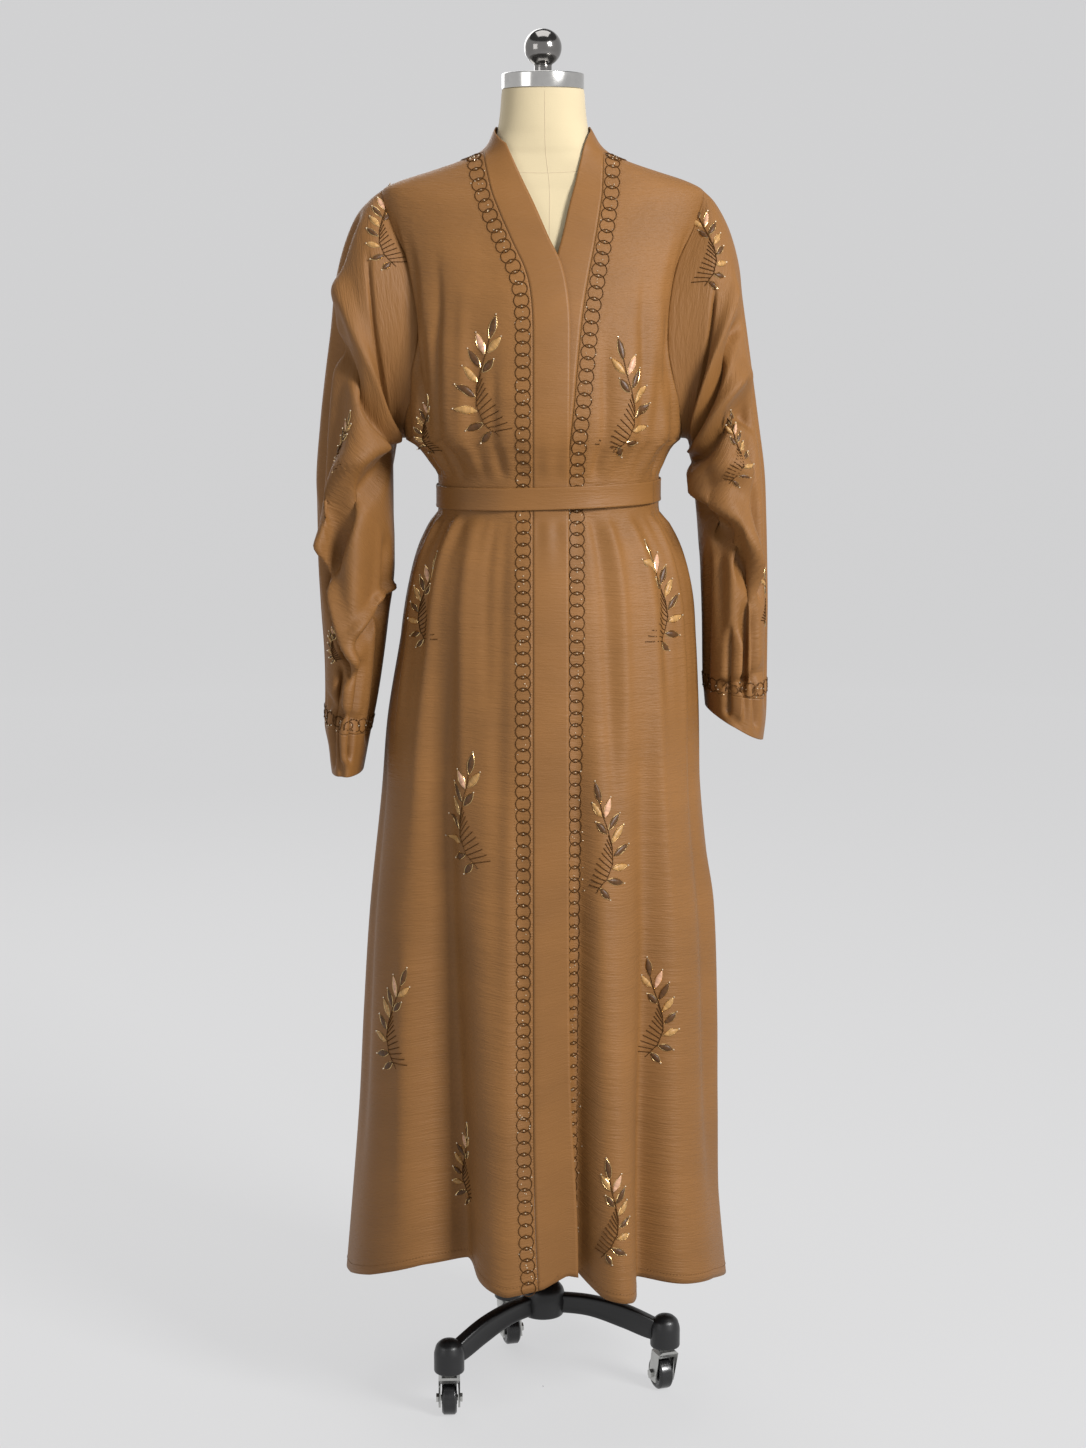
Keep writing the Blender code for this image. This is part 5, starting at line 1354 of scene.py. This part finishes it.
class ABAYA_OT_sprays(bpy.types.Operator):
    """Leaf sprays of padded satin leaves, bugle edges, beaded stems and fans"""
    bl_idname = "abaya.sprays"
    bl_label = "Leaf sprays"

    def execute(self, context):
        leaves = {"gold": [], "shell": [], "brown": []}
        rods, stems, stones = [], [], []
        for number, (key, x, z, tilt, size, side) in enumerate(SPRAYS):
            rng = np.random.default_rng(100 + number)
            place = self.placer(key, x, z, tilt, size, side)
            for fx, fz, lean, length, finish in LEAVES:
                lean = lean + rng.uniform(-5, 5)
                length = length * rng.uniform(0.92, 1.08)
                leaf = (fx, fz, lean, length)
                leaves[finish].append((place, leaf))
                rods.append(self.edge_lines(place, leaf))
                _, spot = place(*self.leaf_frame(leaf, 1.05, 0.0))
                stones.append((key, spot, spot + 0.001))
            stems.append(self.stem_lines(place))
        for finish, rows in leaves.items():
            self.leaf_mesh(f"leaves_{finish}", rows, finish)
        self.rows("leaf_edges", rods, "metal", (0.00125, 0.00048, 0.00048), "bugle")
        self.rows("spray_stems", stems, "thread", (0.00105, 0.00075, 0.00075), "bead")
        self.rows("spray_stones", stones, "crystal", (0.0010, 0.0010, 0.0010), "stone")
        return {"FINISHED"}

    def placer(self, key, x, z, tilt, size, side):
        """Spot on the sheet in millimetres to a spot near the cloth round (x, z)."""
        cloud, facing = kept_cloth(key)
        ahead = -1.0 if key != "back" else 1.0
        seen = facing[:, 1] * ahead > 0.15
        cloud, facing = cloud[seen], facing[seen]
        near = np.argmin((cloud[:, 0] - x) ** 2 + (cloud[:, 2] - z) ** 2)
        n, centre = facing[near], cloud[near]
        right = unit(np.cross((0.0, 0.0, 1.0), n))
        right = right * (1.0 if right[0] > 0 else -1.0)
        up = unit(np.array((0.0, 0.0, 1.0)) - n * n[2])
        c, s = math.cos(math.radians(tilt)), math.sin(math.radians(tilt))

        def place(px, pz):
            px, pz = np.asarray(px, float) * side, np.asarray(pz, float)
            u, v = (px * c + pz * s) * size * 0.001, (pz * c - px * s) * size * 0.001
            return key, centre + right * u[..., None] + up * v[..., None]
        return place

    def leaf_frame(self, leaf, along, across):
        """Spot along and across a leaf: foot x and z, lean from upright, length."""
        fx, fz, lean, length = leaf
        ux, uz = math.sin(math.radians(lean)), math.cos(math.radians(lean))
        along, across = np.asarray(along) * length, np.asarray(across)
        return fx + ux * along + uz * across, fz + uz * along - ux * across

    def half_width(self, share):
        return 3.9 * np.sin(np.pi * share) ** 0.85

    def edge_lines(self, place, leaf):
        """Spots on both edges of a leaf, and the spots a little farther along."""
        share, sign = np.tile(np.linspace(0.06, 0.94, 10), 2), np.repeat((1.0, -1.0), 10)
        key, here = place(*self.leaf_frame(leaf, share, sign * self.half_width(share)))
        share = share + 0.04
        _, ahead = place(*self.leaf_frame(leaf, share,
                                          sign * self.half_width(np.clip(share, 0, 1))))
        return key, here, ahead

    def stem_lines(self, place):
        """The stem, and eleven straight rows that fan out from its lower half."""
        t, u = np.linspace(0.0, 1.0, 64), np.linspace(0.0, 1.0, 15)
        knots = np.linspace(0.0, 1.0, len(STEM))
        x, z = np.interp(t, knots, STEM[:, 0]), np.interp(t, knots, STEM[:, 1])
        lines = [(x, z)]
        for number in range(11):
            start = 0.50 + number * 0.044
            rise = math.radians(78.0 - 6.5 * number)
            reach = (14.0 + 0.9 * number) * u
            lines.append((np.interp(start, t, x) - reach * math.cos(rise),
                          np.interp(start, t, z) + reach * math.sin(rise)))
        xs, zs = [np.concatenate(v) for v in zip(*lines)]
        dx, dz = [np.concatenate([np.gradient(v[k]) for v in lines]) for k in (0, 1)]
        key, here = place(xs, zs)
        return key, here, place(xs + dx, zs + dz)[1]

    def rows(self, name, entries, finish, size, template):
        """All the beads of one sort, settled on their own cloth and made as one mesh."""
        keys, here, ahead = zip(*entries)
        here, ahead = np.array(here), np.array(ahead)
        feet, normals = [part.reshape(-1, 3) for part in settle_each(keys, here)]
        lay_beads(name, feet, normals, (ahead - here).reshape(-1, 3),
                  np.tile(size, (len(feet), 1)), finish, template)

    def leaf_mesh(self, name, rows, finish):
        """Padded leaf: width sin(pi u) across, height (1 - v squared) above the cloth."""
        up, wide = 11, 5
        share, across = np.meshgrid(np.linspace(0.0, 1.0, up), np.linspace(-1.0, 1.0, wide),
                                    indexing="ij")
        width = self.half_width(np.clip(share, 0.004, 0.996))
        rise = 0.0013 * (1.0 - across ** 2) ** 0.6 * np.sin(np.pi * share) ** 0.4
        keys, spots = zip(*(place(*self.leaf_frame(leaf, share, across * width))
                            for place, leaf in rows))
        feet, normals = settle_each(keys, np.array(spots).reshape(len(rows), -1, 3))
        wall = settings().wall / 2
        points = np.concatenate((feet + normals * (wall + 0.0002 + rise.reshape(1, -1, 1)),
                                 feet + normals * (wall - 0.0001)), axis=1)
        faces = shell_faces(grid_index(up, wide), up * wide)
        every = faces[None] + (np.arange(len(rows)) * 2 * up * wide)[:, None, None]
        uv = np.tile(np.stack((share * 0.024, across * 0.004), -1).reshape(-1, 2),
                     (len(rows) * 2, 1))
        leaves = mesh_from_arrays(name, points.reshape(-1, 3), every.reshape(-1, 4), finish, uv)
        outward(leaves)
        put(leaves)


class ABAYA_PT_panel(bpy.types.Panel):
    """Sidebar panel with the sizes, the colours and one button for each group"""
    bl_idname = "ABAYA_PT_panel"
    bl_label = "Belted abaya"
    bl_space_type = "VIEW_3D"
    bl_region_type = "UI"
    bl_category = "Abaya"

    def draw(self, context):
        for name in AbayaSettings.__annotations__:
            self.layout.prop(context.scene.abaya_settings, name)
        for step in STEPS:
            self.layout.operator(step.bl_idname)


STEPS = (ABAYA_OT_stage, ABAYA_OT_form, ABAYA_OT_panels, ABAYA_OT_bands, ABAYA_OT_sleeves,
         ABAYA_OT_stand, ABAYA_OT_trims, ABAYA_OT_sprays)
CLASSES = (AbayaSettings,) + STEPS + (ABAYA_PT_panel,)


def register():
    for part in CLASSES:
        bpy.utils.register_class(part)
    bpy.types.Scene.abaya_settings = PointerProperty(type=AbayaSettings)


def unregister():
    del bpy.types.Scene.abaya_settings
    for part in reversed(CLASSES):
        bpy.utils.unregister_class(part)


def main():
    register()
    loaded = [list(corner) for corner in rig.bounds()]
    for step in STEPS:
        group, name = step.bl_idname.split(".")
        getattr(getattr(bpy.ops, group), name)()
    built = [list(corner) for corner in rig.bounds()]
    with open("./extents.json", "w") as out:
        json.dump({"frame": loaded, "visual": built}, out)


if __name__ == "__main__":
    main()
